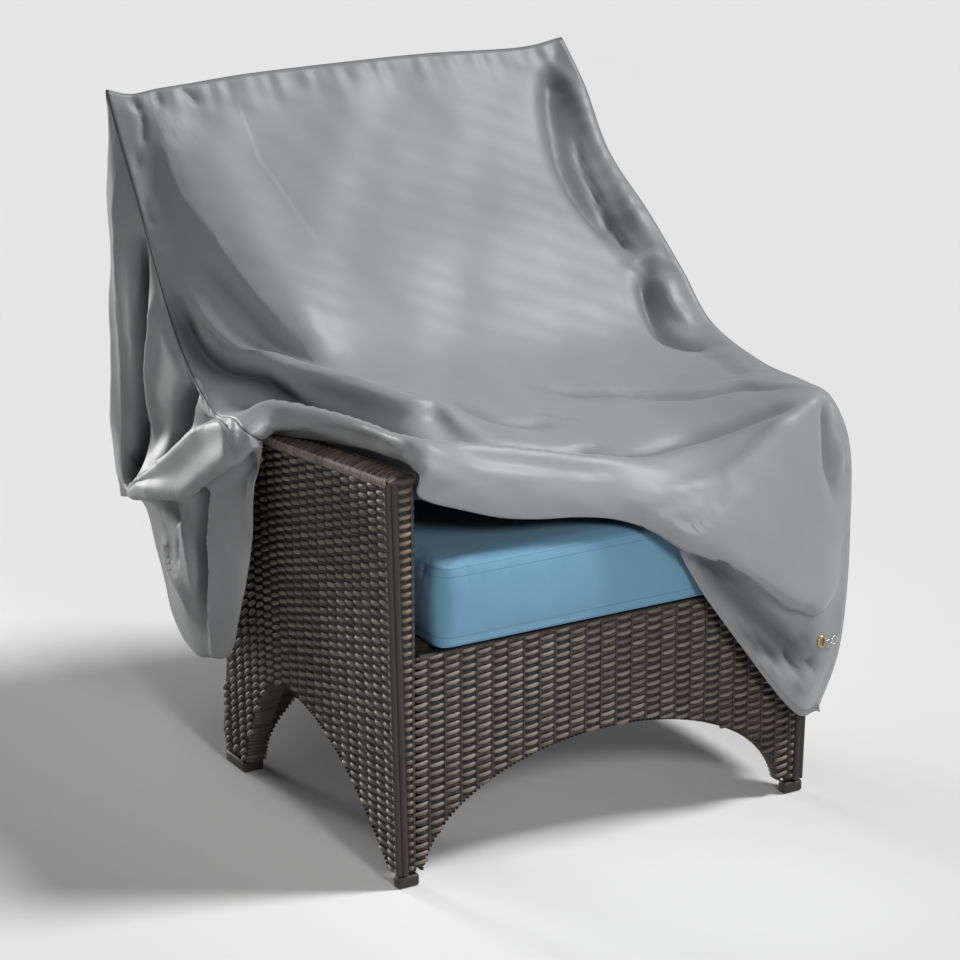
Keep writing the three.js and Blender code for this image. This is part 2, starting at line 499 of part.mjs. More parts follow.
function box(name, [x0, x1], [y0, y1], [z0, z1], finish) {
  const geometry = new THREE.BoxGeometry(x1 - x0, y1 - y0, z1 - z0);
  geometry.translate((x0 + x1) / 2, (y0 + y1) / 2, (z0 + z1) / 2);
  add(name, geometry, finish);
}

function seatCushion() {
  const { halfWidth, front, back, bottom, thickness, corner, edge } = CUSHION;
  const [w, d] = [halfWidth - edge, (back - front) / 2 - edge];
  const shape = new THREE.Shape();
  shape.moveTo(-w + corner, -d);
  shape.lineTo(w - corner, -d);
  shape.quadraticCurveTo(w, -d, w, -d + corner);
  shape.lineTo(w, d - corner);
  shape.quadraticCurveTo(w, d, w - corner, d);
  shape.lineTo(-w + corner, d);
  shape.quadraticCurveTo(-w, d, -w, d - corner);
  shape.lineTo(-w, -d + corner);
  shape.quadraticCurveTo(-w, -d, -w + corner, -d);
  const geometry = new THREE.ExtrudeGeometry(shape, { depth: thickness - 2 * edge, curveSegments: 4,
    bevelThickness: edge, bevelSize: edge, bevelSegments: 3 });
  geometry.translate(0, (front + back) / 2, bottom + edge);
  add('seat_cushion', geometry, BLUE_CANVAS);
}

function armchair() {
  sidePanel('armchair_left_side', -1);
  sidePanel('armchair_right_side', 1);
  apron('armchair_front_apron', 0);
  apron('armchair_rear_apron', REAR_APRON_FRONT);
  const inner = ARM_INNER_X - CLEARANCE;
  box('armchair_seat_deck', [-inner, inner], [APRON_THICKNESS + CLEARANCE, REAR_APRON_FRONT - CLEARANCE],
    [DECK_TOP - DECK_THICKNESS, DECK_TOP], WOVEN_STRAND);
  add('armchair_back_rest', slabAlongX(BACK_REST_OUTLINE, -inner, inner), WOVEN_STRAND);
  seatCushion();
  for (const [side, sideName] of [[-1, 'left'], [1, 'right']]) {
    const outer = CHAIR_HALF_WIDTH - LEG_INSET - 1;
    const across = side > 0 ? [ARM_INNER_X, outer] : [-outer, -ARM_INNER_X];
    const up = [0, GLIDE_HEIGHT - CLEARANCE];
    box(`front_${sideName}_glide`, across, [0, 17], up, DARK_PLASTIC);
    box(`rear_${sideName}_glide`, across, [482, 545], up, DARK_PLASTIC);
  }
}

// ---------- assembly ----------

cover();
cornerTrim();
armchair();

const footprint = new THREE.Box3().setFromObject(group);
const middle = footprint.getCenter(new THREE.Vector3());
group.position.set(-middle.x, -middle.y, -footprint.min.z);

export default group;
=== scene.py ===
# A grey polyester cover drawn part of the way over a woven patio armchair with a blue seat cushion.
# Metres, +X to the right when the chair is seen from the front, +Y to its back, +Z up.
# Shapes are given in millimetres in the chair's own frame: x = 0 in the middle between the arms,
# y = 0 at the front of the arms, z = 0 on the ground.
import json
import math

import bmesh
import bpy
import numpy as np
from mathutils import Matrix, Vector

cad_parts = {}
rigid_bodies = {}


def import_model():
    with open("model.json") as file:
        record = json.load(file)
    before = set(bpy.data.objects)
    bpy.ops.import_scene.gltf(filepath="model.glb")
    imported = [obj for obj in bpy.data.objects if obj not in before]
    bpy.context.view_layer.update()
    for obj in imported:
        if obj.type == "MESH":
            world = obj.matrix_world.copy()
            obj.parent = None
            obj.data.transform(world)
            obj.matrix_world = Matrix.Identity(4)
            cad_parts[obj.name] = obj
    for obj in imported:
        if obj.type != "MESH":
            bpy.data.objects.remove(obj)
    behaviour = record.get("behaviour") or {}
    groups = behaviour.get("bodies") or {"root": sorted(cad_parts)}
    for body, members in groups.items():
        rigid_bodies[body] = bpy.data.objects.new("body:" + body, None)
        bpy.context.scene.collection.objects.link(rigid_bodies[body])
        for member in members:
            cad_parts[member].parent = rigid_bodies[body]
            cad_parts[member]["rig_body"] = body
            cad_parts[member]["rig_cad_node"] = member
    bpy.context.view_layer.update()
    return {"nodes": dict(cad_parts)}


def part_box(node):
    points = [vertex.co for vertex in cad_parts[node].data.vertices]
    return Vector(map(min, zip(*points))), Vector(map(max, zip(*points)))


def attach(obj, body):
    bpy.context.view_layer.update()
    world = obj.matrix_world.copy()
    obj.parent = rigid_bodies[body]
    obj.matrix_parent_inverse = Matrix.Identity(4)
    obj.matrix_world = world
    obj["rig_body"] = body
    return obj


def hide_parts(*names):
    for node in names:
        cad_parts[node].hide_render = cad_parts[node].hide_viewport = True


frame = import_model()

MM = 0.001
APRON_LOW, APRON_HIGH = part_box("armchair_front_apron")
CHAIR_ORIGIN = np.array([(APRON_LOW[0] + APRON_HIGH[0]) / 2, APRON_LOW[1], 0.0])


def in_metres(places):
    """Places in millimetres of the chair's frame, as metres of the model's frame."""
    return np.asarray(places, dtype=float) * MM + CHAIR_ORIGIN


# ---------- the cover's sections ----------

CLOTH_THICKNESS = 1.2
CLOTH_STEP = 6.5                  # mesh step on the cloth
SEAM_GAP = 1.5                    # between the middles of two cloths sewn at a seam
SETBACK_FADE = 40                 # distance from a seam over which its gap fades
ALLOWANCE, BEND = 6, 0.3          # cloth turned in behind a seam, and the share of it at its bend

# Each row is a section: its name and its places. On the panels that hang from a seam, the number
# after the name says where on that seam the section starts, and its places run down to the hem.
# The front's places run from the left seam over the left arm, its middle and its front, the seat's
# corner, the seat's left, middle and right, and the right arm to the right seam.
# The left side's run over its upper and lower cloth, a valley, the crest, face and edge of a roll, a
# tuck and a skirt.
FRONT_SECTIONS = [
    ("ridge", [(-400, 786, 1006), (-362, 783, 996), (-318, 782, 1000), (-260, 781, 1003), (-205, 782, 1006),
        (-150, 782, 1008), (0, 783, 1009), (150, 783, 1008), (318, 784, 1001), (400, 786, 1010)]),
    ("shoulder", [(-392, 760, 935), (-356, 755, 940), (-316, 740, 940), (-262, 730, 938), (-206, 726, 939),
        (-150, 722, 940), (0, 716, 940), (150, 718, 940), (318, 730, 938), (398, 712, 945)]),
    ("upper", [(-387, 715, 850), (-350, 702, 855), (-312, 662, 858), (-264, 634, 858), (-207, 631, 859),
        (-150, 628, 860), (0, 622, 858), (150, 625, 858), (312, 640, 850), (398, 638, 852)]),
    ("middle", [(-387, 668, 775), (-350, 630, 780), (-310, 568, 782), (-266, 525, 784), (-208, 522, 783),
        (-150, 520, 782), (0, 516, 780), (150, 520, 778), (312, 540, 770), (399, 522, 776)]),
    ("low", [(-388, 616, 702), (-352, 572, 712), (-312, 500, 722), (-266, 438, 722), (-208, 432, 717),
        (-150, 425, 712), (0, 420, 706), (150, 425, 700), (312, 448, 695), (400, 425, 703)]),
    ("bend", [(-390, 566, 650), (-352, 518, 662), (-308, 442, 664), (-250, 352, 654), (-198, 341, 651),
        (-145, 330, 648), (0, 322, 640), (150, 332, 632), (312, 350, 628), (402, 345, 638)]),
    ("seat", [(-393, 512, 616), (-348, 462, 640), (-290, 362, 646), (-222, 215, 634), (-176, 202, 624),
        (-130, 190, 614), (0, 190, 600), (150, 192, 598), (315, 205, 608), (404, 215, 608)]),
    ("trench", [(-400, 438, 593), (-338, 405, 594), (-286, 250, 562), (-250, 92, 566), (-200, 82, 584),
        (-142, 76, 596), (0, 80, 574), (150, 90, 576), (322, 105, 613), (408, 110, 604)]),
    ("crest", [(-408, 366, 605), (-352, 345, 620), (-312, 180, 632), (-304, 26, 643), (-240, 22, 629),
        (-150, 20, 608), (0, 16, 573), (150, 8, 552), (332, 8, 622), (410, 44, 594)]),
    ("face", [(-411, 312, 597), (-358, 318, 604), (-318, 165, 616), (-312, -6, 630), (-238, -10, 590),
        (-152, -10, 566), (0, -18, 532), (150, -58, 500), (332, -28, 575), (410, -4, 530)]),
    ("lip", [(-381, 332, 578), (-345, 335, 588), (-318, 156, 604), (-314, -6, 615), (-304, -9, 574),
        (-150, -6, 520), (10, -20, 492), (152, -70, 418), (318, -60, 330), (406, -16, 400)]),
    ("tuck", [(-376, 362, 576), (-340, 350, 573.3), (-312, 166, 600), (-309, 8, 611), (-296, 6, 575),
        (-146, 8, 524), (16, -2, 499), (146, -36, 442), (304, -38, 310), (400, -20, 300)]),
    ("skirt", [(-378, 376, 576), (-336, 362, 582), (-308, 178, 606), (-305, 16, 613), (-290, 14, 585),
        (-144, 8, 540), (24, -8, 509), (150, -34, 388), (312, -36, 232), (392, -14, 210)]),
    ("hem", [(-380, 390, 576), (-333, 372, 581), (-304, 182, 619), (-301, 24, 619), (-286, 20, 595),
        (-140, 6, 552), (30, -14, 519), (153, -30, 341), (296, -30, 154), (366, -4, 126)]),
]
LEFT_SECTIONS = [
    ("back edge", 0, [(-398, 792, 860), (-397, 804, 680), (-399, 808, 540), (-401, 806, 480),
        (-402, 800, 440), (-402, 792, 410), (-401, 789, 395), (-400, 787, 382), (-400, 785, 368)]),
    ("back fold", 1.2, [(-404, 742, 770), (-396, 738, 610), (-388, 732, 480), (-416, 700, 428),
        (-428, 690, 414), (-430, 688, 402), (-404, 700, 392), (-400, 700, 382), (-398, 700, 372)]),
    ("back pleat", 2.4, [(-398, 670, 700), (-398, 655, 590), (-386, 640, 510), (-432, 622, 455),
        (-442, 602, 446), (-448, 592, 436), (-406, 592, 408), (-398, 636, 320), (-388, 634, 223)]),
    ("mid pleat", 3.4, [(-402, 604, 655), (-398, 575, 588), (-390, 545, 540), (-433, 547, 497),
        (-444, 530, 476), (-450, 522, 452), (-404, 520, 440), (-416, 535, 320), (-405, 530, 196)]),
    ("front pleat", 4.4, [(-396, 545, 618), (-396, 515, 586), (-392, 484, 564), (-430, 496, 532),
        (-440, 472, 506), (-448, 452, 470), (-398, 456, 468), (-412, 470, 330), (-404, 466, 206)]),
    ("arm back", 5.6, [(-399, 500, 598), (-402, 472, 584), (-396, 452, 582), (-424, 444, 568),
        (-434, 425, 546), (-440, 396, 510), (-394, 402, 499), (-402, 412, 380), (-400, 402, 240)]),
    ("arm", 7.2, [(-404, 421, 590), (-406, 410, 590), (-409, 400, 593), (-423, 386, 597), (-430, 366, 582),
        (-434, 338, 548), (-388, 354, 536), (-392, 366, 460), (-396, 350, 390)]),
    ("arm front", 8, [(-412, 361, 603), (-416, 356, 600), (-419, 352, 596), (-423, 347, 590),
        (-425, 340, 574), (-422, 326, 556), (-396, 342, 546), (-393, 348, 522), (-392, 334, 508)]),
    ("elbow", 9, [(-412, 309, 595), (-412, 307, 592), (-412, 306, 589), (-412, 305, 586), (-411, 304, 582),
        (-408, 304, 577), (-401, 311, 573), (-395, 316, 566), (-390, 318, 558)]),
    ("corner", 10, [(-381, 331, 577), (-382, 330, 577), (-382, 329, 576), (-383, 328, 576),
        (-383, 327, 575), (-384, 325, 575), (-384, 324, 574), (-385, 322, 573), (-385, 320, 572)]),
]
RIGHT_SECTIONS = [
    ("back edge", 0, [(402, 796, 800), (406, 802, 560), (408, 806, 320), (406, 808, 130)]),
    ("back fold", 1.5, [(396, 680, 730), (392, 690, 520), (398, 700, 300), (402, 705, 120)]),
    ("middle fold", 3, [(404, 540, 660), (412, 560, 480), (414, 580, 290), (410, 585, 112)]),
    ("seat fold", 5, [(400, 370, 560), (398, 400, 430), (402, 420, 270), (404, 425, 106)]),
    ("arm fold", 7, [(412, 150, 530), (414, 190, 410), (416, 220, 260), (412, 230, 102)]),
    ("front fold", 9, [(410, 24, 470), (410, 60, 370), (410, 90, 250), (404, 100, 100)]),
    ("front corner", 13, [(370, -1, 124), (375, 3, 121), (381, 9, 117), (388, 18, 112)]),
]
BACK_SECTIONS = [
    ("left edge", 0, [(-396, 800, 850), (-396, 812, 640), (-397, 812, 480), (-396, 796, 366)]),
    ("left fold", 4, [(-225, 826, 845), (-225, 842, 620), (-228, 846, 420), (-230, 838, 300)]),
    ("middle fold", 6, [(0, 822, 840), (0, 826, 590), (0, 832, 360), (0, 834, 210)]),
    ("right fold", 7.4, [(225, 826, 835), (222, 846, 570), (226, 850, 330), (228, 846, 150)]),
    ("right edge", 9, [(399, 802, 800), (402, 812, 560), (404, 816, 320), (402, 818, 130)]),
]


# ---------- splines ----------

def spline_weights(stations, count):
    """Weights of count control values at each station, on a spline that runs through them."""
    stations = np.asarray(stations, dtype=float)
    first = np.clip(np.floor(stations).astype(int), 0, count - 2)
    t = stations - first
    curves = (-t + 2 * t**2 - t**3, 2 - 5 * t**2 + 3 * t**3, t + 4 * t**2 - 3 * t**3, -t**2 + t**3)
    weights = np.zeros((len(stations), count))
    each = np.arange(len(stations))
    for shift, curve in zip((-1, 0, 1, 2), curves):
        index = first + shift
        before, after = index < 0, index > count - 1
        inside = ~(before | after)
        np.add.at(weights, (each[inside], index[inside]), curve[inside] / 2)
        for beyond, end, step in ((before, 0, 1), (after, count - 1, -1)):
            np.add.at(weights, (each[beyond], np.full(beyond.sum(), end)), curve[beyond])
            np.add.at(weights, (each[beyond], np.full(beyond.sum(), end + step)), -curve[beyond] / 2)
    return weights


def fine_stations(controls, step):
    """Stations along the first axis of a control grid, about a step apart."""
    lengths = np.linalg.norm(np.diff(controls, axis=0), axis=-1)
    spans = lengths.reshape(len(lengths), -1).mean(axis=1)
    stations = [np.linspace(k, k + 1, max(2, round(span / step)), endpoint=False)
                for k, span in enumerate(spans)]
    return np.append(np.concatenate(stations), len(spans))


def unit(vectors):
    return vectors / np.maximum(np.linalg.norm(vectors, axis=-1, keepdims=True), 1e-12)


def sheet_normals(grid):
    """Outward normals of a grid of places whose rows run down and whose columns run to the right."""
    down = np.gradient(grid, axis=0)
    across = np.gradient(grid, axis=1)
    return unit(np.cross(down, across))


# ---------- the panels' surfaces ----------

FRONT_CONTROLS = np.array([places for _, places in FRONT_SECTIONS], dtype=float)


def front_places(rows, columns):
    down, across = (spline_weights(at, count) for at, count in zip((rows, columns), FRONT_CONTROLS.shape))
    return np.einsum("ri,cj,ijk->rck", down, across, FRONT_CONTROLS)


def hung_places(sections, seam_line, seam_places, drops):
    """A panel's places at these places along its seam and these drops below it."""
    starts = np.array([start for _, start, _ in sections])
    controls = np.array([places for _, _, places in sections], dtype=float)
    stations = np.interp(seam_places, starts, np.arange(len(starts)))
    lines = np.einsum("si,ijk->sjk", spline_weights(stations, len(starts)), controls)
    lines = np.concatenate([seam_line[:, None, :], lines], axis=1)
    grid = np.einsum("dj,sjk->sdk", spline_weights(drops, lines.shape[1]), lines)
    along = unit(np.gradient(seam_line, axis=0))
    away = grid[:, 1] - grid[:, 0]
    away = unit(away - (away * along).sum(-1, keepdims=True) * along)
    fade = np.clip(1 - np.linalg.norm(grid - grid[:, :1], axis=-1) / SETBACK_FADE, 0, 1)[..., None]
    return grid + SEAM_GAP * fade * away[:, None, :]


# ---------- the creases ----------
# Each crease is pushed out (+) or in (-) along a path of (row, column) places on its panel, with
# its reach to the left and to the right of that path. A soft one is rounded, a sharp one has an edge.

FRONT_CREASES = [
    ("left stile", "sharp", 11, 48, 26, [(0.5, 1.6), (1.2, 1.6), (1.9, 1.55), (2.5, 1.85), (3.1, 2.05),
        (3.7, 2.3), (4.3, 2.6), (4.9, 2.85)]),
    ("behind crest", "soft", -10, 20, 16, [(3, 1.35), (3.7, 1.65), (4.3, 2), (4.9, 2.3), (5.4, 2.7)]),
    ("trench crest", "soft", 18, 20, 13, [(3.5, 0.75), (4, 0.95), (4.6, 1.25), (5.2, 1.65), (5.65, 2.1),
        (5.9, 2.6), (6, 3.2), (6.1, 4), (6.4, 4.6), (6.8, 5.1)]),
    ("arm trench", "soft", -26, 13, 20, [(3.6, 0.25), (4.3, 0.3), (4.9, 0.4), (5.4, 0.65), (5.9, 0.95),
        (6.3, 1.4), (6.6, 1.8)]),
    ("seat trench", "soft", -34, 24, 26, [(6.6, 1.7), (6.9, 2.3), (7, 3), (7.1, 3.8), (7.2, 4.5),
        (7.2, 5)]),
    ("band top", "sharp", 9, 8, 24, [(8, 0.3), (8, 1), (8, 2), (8, 3), (8, 4), (8, 5), (8.05, 5.8),
        (8.1, 6.6)]),
    ("band second edge", "sharp", 6, 14, 10, [(8.25, 2.6), (8.6, 3.6), (8.8, 4.6), (8.75, 5.3)]),
    ("band hollow", "soft", -6, 10, 10, [(8.35, 3.9), (8.4, 4.6), (8.4, 5.4), (8.4, 6)]),
    ("right trough", "soft", -16, 38, 18, [(0.5, 8.5), (0.9, 8.3), (1.4, 8.1), (2.2, 7.95), (2.7, 7.95),
        (3.1, 8.05), (3.6, 8.25)]),
    ("right ridge", "soft", 10, 14, 16, [(0.5, 8.6), (1.1, 8.8), (1.65, 8.85), (2.3, 8.85), (2.9, 8.75),
        (3.5, 8.75)]),
    ("pinch", "sharp", 9, 8, 6, [(3.78, 8.1), (3.7, 8.45), (3.7, 8.85)]),
    ("pinch trough", "soft", -19, 18, 14, [(3.85, 8.35), (4.2, 8.2), (4.6, 8.1), (5, 8.05), (5.25, 8.2),
        (5.35, 8.55)]),
    ("pinch lobe", "soft", 8, 12, 10, [(4.05, 8.55), (4.5, 8.5), (4.9, 8.55)]),
    ("below pinch", "soft", -6, 20, 20, [(5.4, 8.4), (5.9, 8.3), (6.4, 8.15)]),
    ("seat trough", "soft", -9, 7, 22, [(5.45, 6.2), (5.65, 6.5), (5.95, 7.15), (6.45, 7.55), (6.8, 7.85),
        (7.3, 8), (7.7, 8.1)]),
    ("seat edge", "sharp", 4, 7, 4, [(6.35, 7.55), (6.65, 7.9), (7.1, 8.1)]),
    ("seat fold", "soft", -4, 5, 6, [(6, 5.9), (6.3, 6.25)]),
    ("left seat trough", "soft", -7, 10, 14, [(5.65, 5.05), (6.15, 5.45), (6.3, 6)]),
    ("behind band", "soft", -11, 7, 15, [(6.75, 5.05), (6.95, 5.6), (7, 6.2)]),
    ("broad trough", "soft", -12, 16, 15, [(7.1, 5.9), (7.5, 6.5), (7.4, 7), (7.65, 7.4), (7.9, 7.65),
        (8.2, 7.85)]),
    ("arm ridge", "sharp", 10, 24, 10, [(8.2, 7.9), (8.4, 7.55), (8.5, 7.2), (8.45, 6.9), (8.75, 6.35)]),
    ("arm wrinkle", "sharp", -3, 5, 5, [(9.2, 6.3), (8.9, 6.6), (8.65, 6.9)]),
    ("second arm wrinkle", "sharp", -2.5, 5, 6, [(9.15, 6.7), (8.85, 7), (8.75, 7.3)]),
    ("corner hollow", "soft", -13, 12, 9, [(8.6, 8.2), (8.95, 8.2), (9.15, 8.2), (9.3, 8.2), (9.42, 8.45)]),
    ("corner fold", "soft", 6, 7, 7, [(9, 8.55), (9.15, 8.5), (9.3, 8.6)]),
    ("flap edge", "sharp", 15, 36, 7, [(10.25, 6.35), (10.6, 6.7), (11.3, 7.1), (11.5, 7.5), (11.6, 7.9),
        (11.85, 8.15)]),
    ("under flap", "soft", -24, 24, 26, [(11.55, 6.85), (11.65, 7.25), (11.8, 7.6), (11.8, 7.95),
        (11.85, 8.1)]),
    ("low fold", "soft", -16, 6, 8, [(12.6, 7.3), (12.45, 7.55), (12.3, 7.8), (12.15, 8), (12.05, 8.2),
        (12.1, 8.35)]),
    ("low fold rim", "sharp", 9, 5, 16, [(12.75, 7.35), (12.6, 7.65), (12.45, 7.95), (12.3, 8.2),
        (12.3, 8.4)]),
    ("flap fold", "soft", -6, 8, 12, [(11.2, 7.65), (10.6, 7.8), (10.1, 7.9)]),
    ("slit", "soft", -9, 5, 7, [(1.75, 8.45), (2.4, 8.3), (3.1, 8.25), (3.6, 8.35)]),
    ("seam pucker", "sharp", -6, 6, 6, [(9.25, 8.95), (9.35, 8.6), (9.3, 8.4)]),
    ("second seam pucker", "sharp", 6, 6, 7, [(9.05, 8.95), (9.1, 8.7)]),
    ("third seam pucker", "sharp", -6, 5, 7, [(8.75, 8.95), (8.85, 8.65), (8.8, 8.45)]),
    ("ridge pucker one", "soft", -5, 7, 7, [(0.05, 1), (0.2, 1.05), (0.5, 1.1)]),
    ("ridge pucker two", "soft", -8, 7, 8, [(0.02, 1.9), (0.15, 1.95), (0.4, 1.9)]),
    ("ridge pucker three", "soft", -5, 5, 6, [(0.05, 2.6), (0.2, 2.8), (0.4, 3)]),
    ("seam dimple", "soft", -5, 6, 6, [(0.6, 1.2), (0.9, 1.05), (1.2, 0.85)]),
    ("second dimple", "soft", -5, 5, 6, [(1.35, 0.5), (1.55, 0.3)]),
    ("third dimple", "soft", -6, 6, 7, [(2, 0.3), (2.3, 0.2), (2.5, 0.35)]),
]
LEFT_CREASES = [
    ("back strip", "sharp", 9, 12, 26, [(1, 0.3), (0.95, 1), (0.8, 1.9), (0.65, 2.7), (0.6, 4)]),
    ("deep trough", "soft", -52, 13, 14, [(2.15, 0.4), (2.1, 1), (1.8, 1.8), (1.5, 2.4), (1.25, 3.2),
        (1.1, 4), (1.1, 4.8)]),
    ("beside trough", "soft", 9, 12, 10, [(3, 0.55), (2.7, 1.1), (2.35, 1.7), (2, 2.4), (1.9, 3.2)]),
    ("slant trough", "soft", -26, 15, 15, [(5.5, 0.5), (4.6, 1.4), (3.7, 2.2), (3, 2.9), (2.65, 3.5)]),
    ("behind roll", "soft", -12, 12, 8, [(1.9, 3.8), (2.8, 3.7), (3.6, 3.5), (4.4, 3.35), (5.2, 3.3)]),
    ("roll top", "sharp", 10, 7, 20, [(1.15, 5.2), (1.7, 4.6), (2.6, 4.45), (3.4, 4.2), (4.4, 4.1),
        (5.4, 4), (6.2, 3.9)]),
    ("roll edge", "sharp", 9, 20, 5, [(2.2, 5.95), (2.8, 5.95), (3.4, 5.95), (4.4, 5.95), (5.6, 5.95),
        (7.2, 5.95), (8, 6), (9, 6.1)]),
    ("under roll", "soft", -22, 5, 15, [(2.2, 6.5), (2.8, 6.4), (3.4, 6.4), (4.4, 6.4), (5.6, 6.4),
        (7.2, 6.6), (8, 6.8), (9, 7)]),
    ("skirt back edge", "sharp", 12, 5, 16, [(2.85, 6.9), (3.05, 7.1), (3.45, 7.5), (3.75, 7.7),
        (3.97, 7.9), (4.15, 8.35)]),
    ("skirt front edge", "sharp", 9, 18, 5, [(4.3, 6.65), (4.4, 7.2), (4.5, 7.5), (4.78, 7.85), (4.85, 8.1),
        (4.7, 8.5), (4.5, 9)]),
    ("skirt valley", "soft", -32, 9, 19, [(4, 6.7), (4.15, 7.3), (4.3, 7.65), (4.5, 7.95), (4.45, 8.4)]),
    ("skirt slant", "sharp", 12, 7, 30, [(2.4, 7.6), (3, 8), (3.5, 8.2), (4, 8.45)]),
    ("skirt dimple", "soft", -7, 6, 8, [(3, 7.6), (3.3, 7.9)]),
    ("skirt top", "soft", -15, 20, 14, [(2, 6.8), (2.6, 7.1), (3, 7.35)]),
]
RIGHT_CREASES = [
    ("back trough", "soft", -14, 34, 34, [(1.8, 0.8), (1.8, 2), (1.8, 3.6)]),
    ("seat trough", "soft", -14, 32, 32, [(4.4, 0.8), (4.4, 2), (4.2, 3.6)]),
    ("front fold", "soft", 8, 24, 24, [(8, 1), (8, 2.2), (8, 3.6)]),
]
BACK_CREASES = [
    ("left trough", "soft", -14, 40, 40, [(4.4, 0.6), (4.7, 1.6), (4.8, 3.4)]),
    ("right trough", "soft", -14, 40, 40, [(6.9, 0.6), (6.8, 1.6), (6.8, 3.4)]),
    ("middle fold", "soft", 9, 50, 50, [(5.8, 1), (6, 2.2), (6.1, 3.7)]),
]


# ---------- folds and unevenness ----------

CREASE_STEPS = 12                 # places on a crease from one place of its path to the next
CREASE_REACH = 3.2                # times its width, where a crease ends
CREASE_ENDS = 0.25                # share of its depth that a crease has at its two ends
CREASE_FADE = 0.22                # share of a crease's length over which each end fades
NEXT_FOLD = 2.6                   # rows or columns away, where the cloth belongs to another fold
DARKEST_PAINTED_SHADE_DEPTH = 23                    # depth of a fold at which its painted shade is at its darkest
SEAM_HOLD, HOLD_POWER = 26, 0.7   # distance from a seam within which folds flatten, and how fast
PUCKER_RISE = 2.7                 # brings the highest pucker to about its given height
SHORT_DROP = 60                   # a drop shorter than this hangs without creases
EDGE_PULL_POWER = 8               # how fast the back panel leaves its neighbours' edges


def crease_push(grid, rows, columns, normals, creases):
    """How far each place of a grid is pushed out by the creases, in millimetres."""
    push = np.zeros(grid.shape[:2])
    place_rows, place_columns = np.meshgrid(rows, columns, indexing="ij")
    for _, kind, depth, left, right, path in creases:
        path = np.array(path, dtype=float)
        count = CREASE_STEPS * (len(path) - 1) + 1
        at = spline_weights(np.linspace(0, len(path) - 1, count), len(path)) @ path
        line, facing = (sampled(values, rows, columns, at) for values in (grid, normals))
        sideways = np.cross(unit(np.gradient(line, axis=0)), facing)
        middle = line.mean(axis=0)
        reach = CREASE_REACH * max(left, right) + np.linalg.norm(line - middle, axis=-1).max()
        near = np.linalg.norm(grid - middle, axis=-1) < reach
        offsets = grid[near][:, None, :] - line[None]
        gaps = np.linalg.norm(offsets, axis=-1)
        nearest = gaps.argmin(axis=1)
        each = np.arange(len(nearest))
        gap = gaps[each, nearest]
        side = (offsets[each, nearest] * sideways[nearest]).sum(-1)
        width = np.where(side > 0, right, left)
        shape = np.exp(-(gap / width) ** 2) if kind == "soft" else np.exp(-gap / width)
        from_end = np.minimum(nearest, count - 1 - nearest) / (count - 1)
        fade = np.minimum(1, CREASE_ENDS + from_end / CREASE_FADE)
        apart = (np.abs(place_rows[near] - at[nearest, 0]) > NEXT_FOLD) | (
            np.abs(place_columns[near] - at[nearest, 1]) > NEXT_FOLD)
        push[near] += np.where(apart, 0, depth * shape * fade)
    return push


def sampled(grid, rows, columns, at):
    """Places of a grid read between its rows and columns."""
    row = np.interp(at[:, 0], rows, np.arange(len(rows)))
    column = np.interp(at[:, 1], columns, np.arange(len(columns)))
    i = np.clip(row.astype(int), 0, len(rows) - 2)
    j = np.clip(column.astype(int), 0, len(columns) - 2)
    u, v = (row - i)[:, None], (column - j)[:, None]
    return ((1 - u) * (1 - v) * grid[i, j] + u * (1 - v) * grid[i + 1, j]
            + (1 - u) * v * grid[i, j + 1] + u * v * grid[i + 1, j + 1])


def along_edge(line):
    """Distance in millimetres from the start of a line of places."""
    return np.append(0, np.cumsum(np.linalg.norm(np.diff(line, axis=0), axis=-1)))


def read_line(line, known, at):
    """A line of places that are known at some stations, read at others."""
    return np.stack([np.interp(at, known, values) for values in line.T], axis=-1)


def ripple(line, seed, shortest, longest):
    """An uneven wave of about 1 high along a line. Its decimals only keep the waves out of step."""
    distance = along_edge(line)
    wave = np.zeros_like(distance)
    for k in range(7):
        length = shortest + (longest - shortest) * ((k * 0.618 + seed * 0.37) % 1)
        wave = wave + np.sin(2 * math.pi * distance / length + seed * 1.7 + k * 2.4)
    return wave / 2.6


def uneven(grid, seed, length):
    """Slow unevenness of about 1 high over a grid. Its decimals only keep the waves out of step."""
    height = np.zeros(grid.shape[:2])
    for k in range(6):
        turn = seed * 1.3 + k * 1.047
        lean = np.array([math.cos(turn), math.sin(turn) * 0.7, math.sin(turn * 1.7)])
        height += np.sin(grid @ lean * (2 * math.pi / (length * (0.7 + 0.16 * k))) + seed + k * 1.9)
    return height / 2.4


def held_flat(from_seam):
    return np.clip(from_seam / SEAM_HOLD, 0, 1) ** HOLD_POWER


def puckers(distance, reach):
    """Puckers are flat at the seam itself, highest close to it, and die out over their reach."""
    return (distance / reach * PUCKER_RISE) * np.exp(-2 * distance / reach)


def painted_shade_share(push):
    """How deep in a fold each place is, from 0 to 1000 as the other marks are in thousandths: the share of
    painted shade that the cloth gets in its folds.
    """
    return 1000 * np.clip(-push / DARKEST_PAINTED_SHADE_DEPTH, 0, 1)


# ---------- meshes ----------

def grid_quads(shape, outward=1):
    """Faces of a grid of places, in the order of its rows and columns, or turned over by -1."""
    index = np.arange(shape[0] * shape[1]).reshape(shape)
    corners = [index[:-1, :-1], index[1:, :-1], index[1:, 1:], index[:-1, 1:]]
    return np.stack(corners[::outward], axis=-1).reshape(-1, 4)


def new_piece(name, places, quads):
    """A smooth piece on places in millimetres of the chair's frame."""
    mesh = bpy.data.meshes.new(name)
    mesh.from_pydata(in_metres(places).tolist(), [], quads.tolist())
    smooth(mesh)
    piece = bpy.data.objects.new(name, mesh)
    bpy.context.collection.objects.link(piece)
    return piece


def smooth(mesh):
    mesh.polygons.foreach_set("use_smooth", np.ones(len(mesh.polygons), dtype=bool))


def mark(mesh, label, values):
    """Gives each place of a mesh a value that its finish reads."""
    mesh.attributes.new(label, "FLOAT", "POINT").data.foreach_set("value", np.ravel(values))


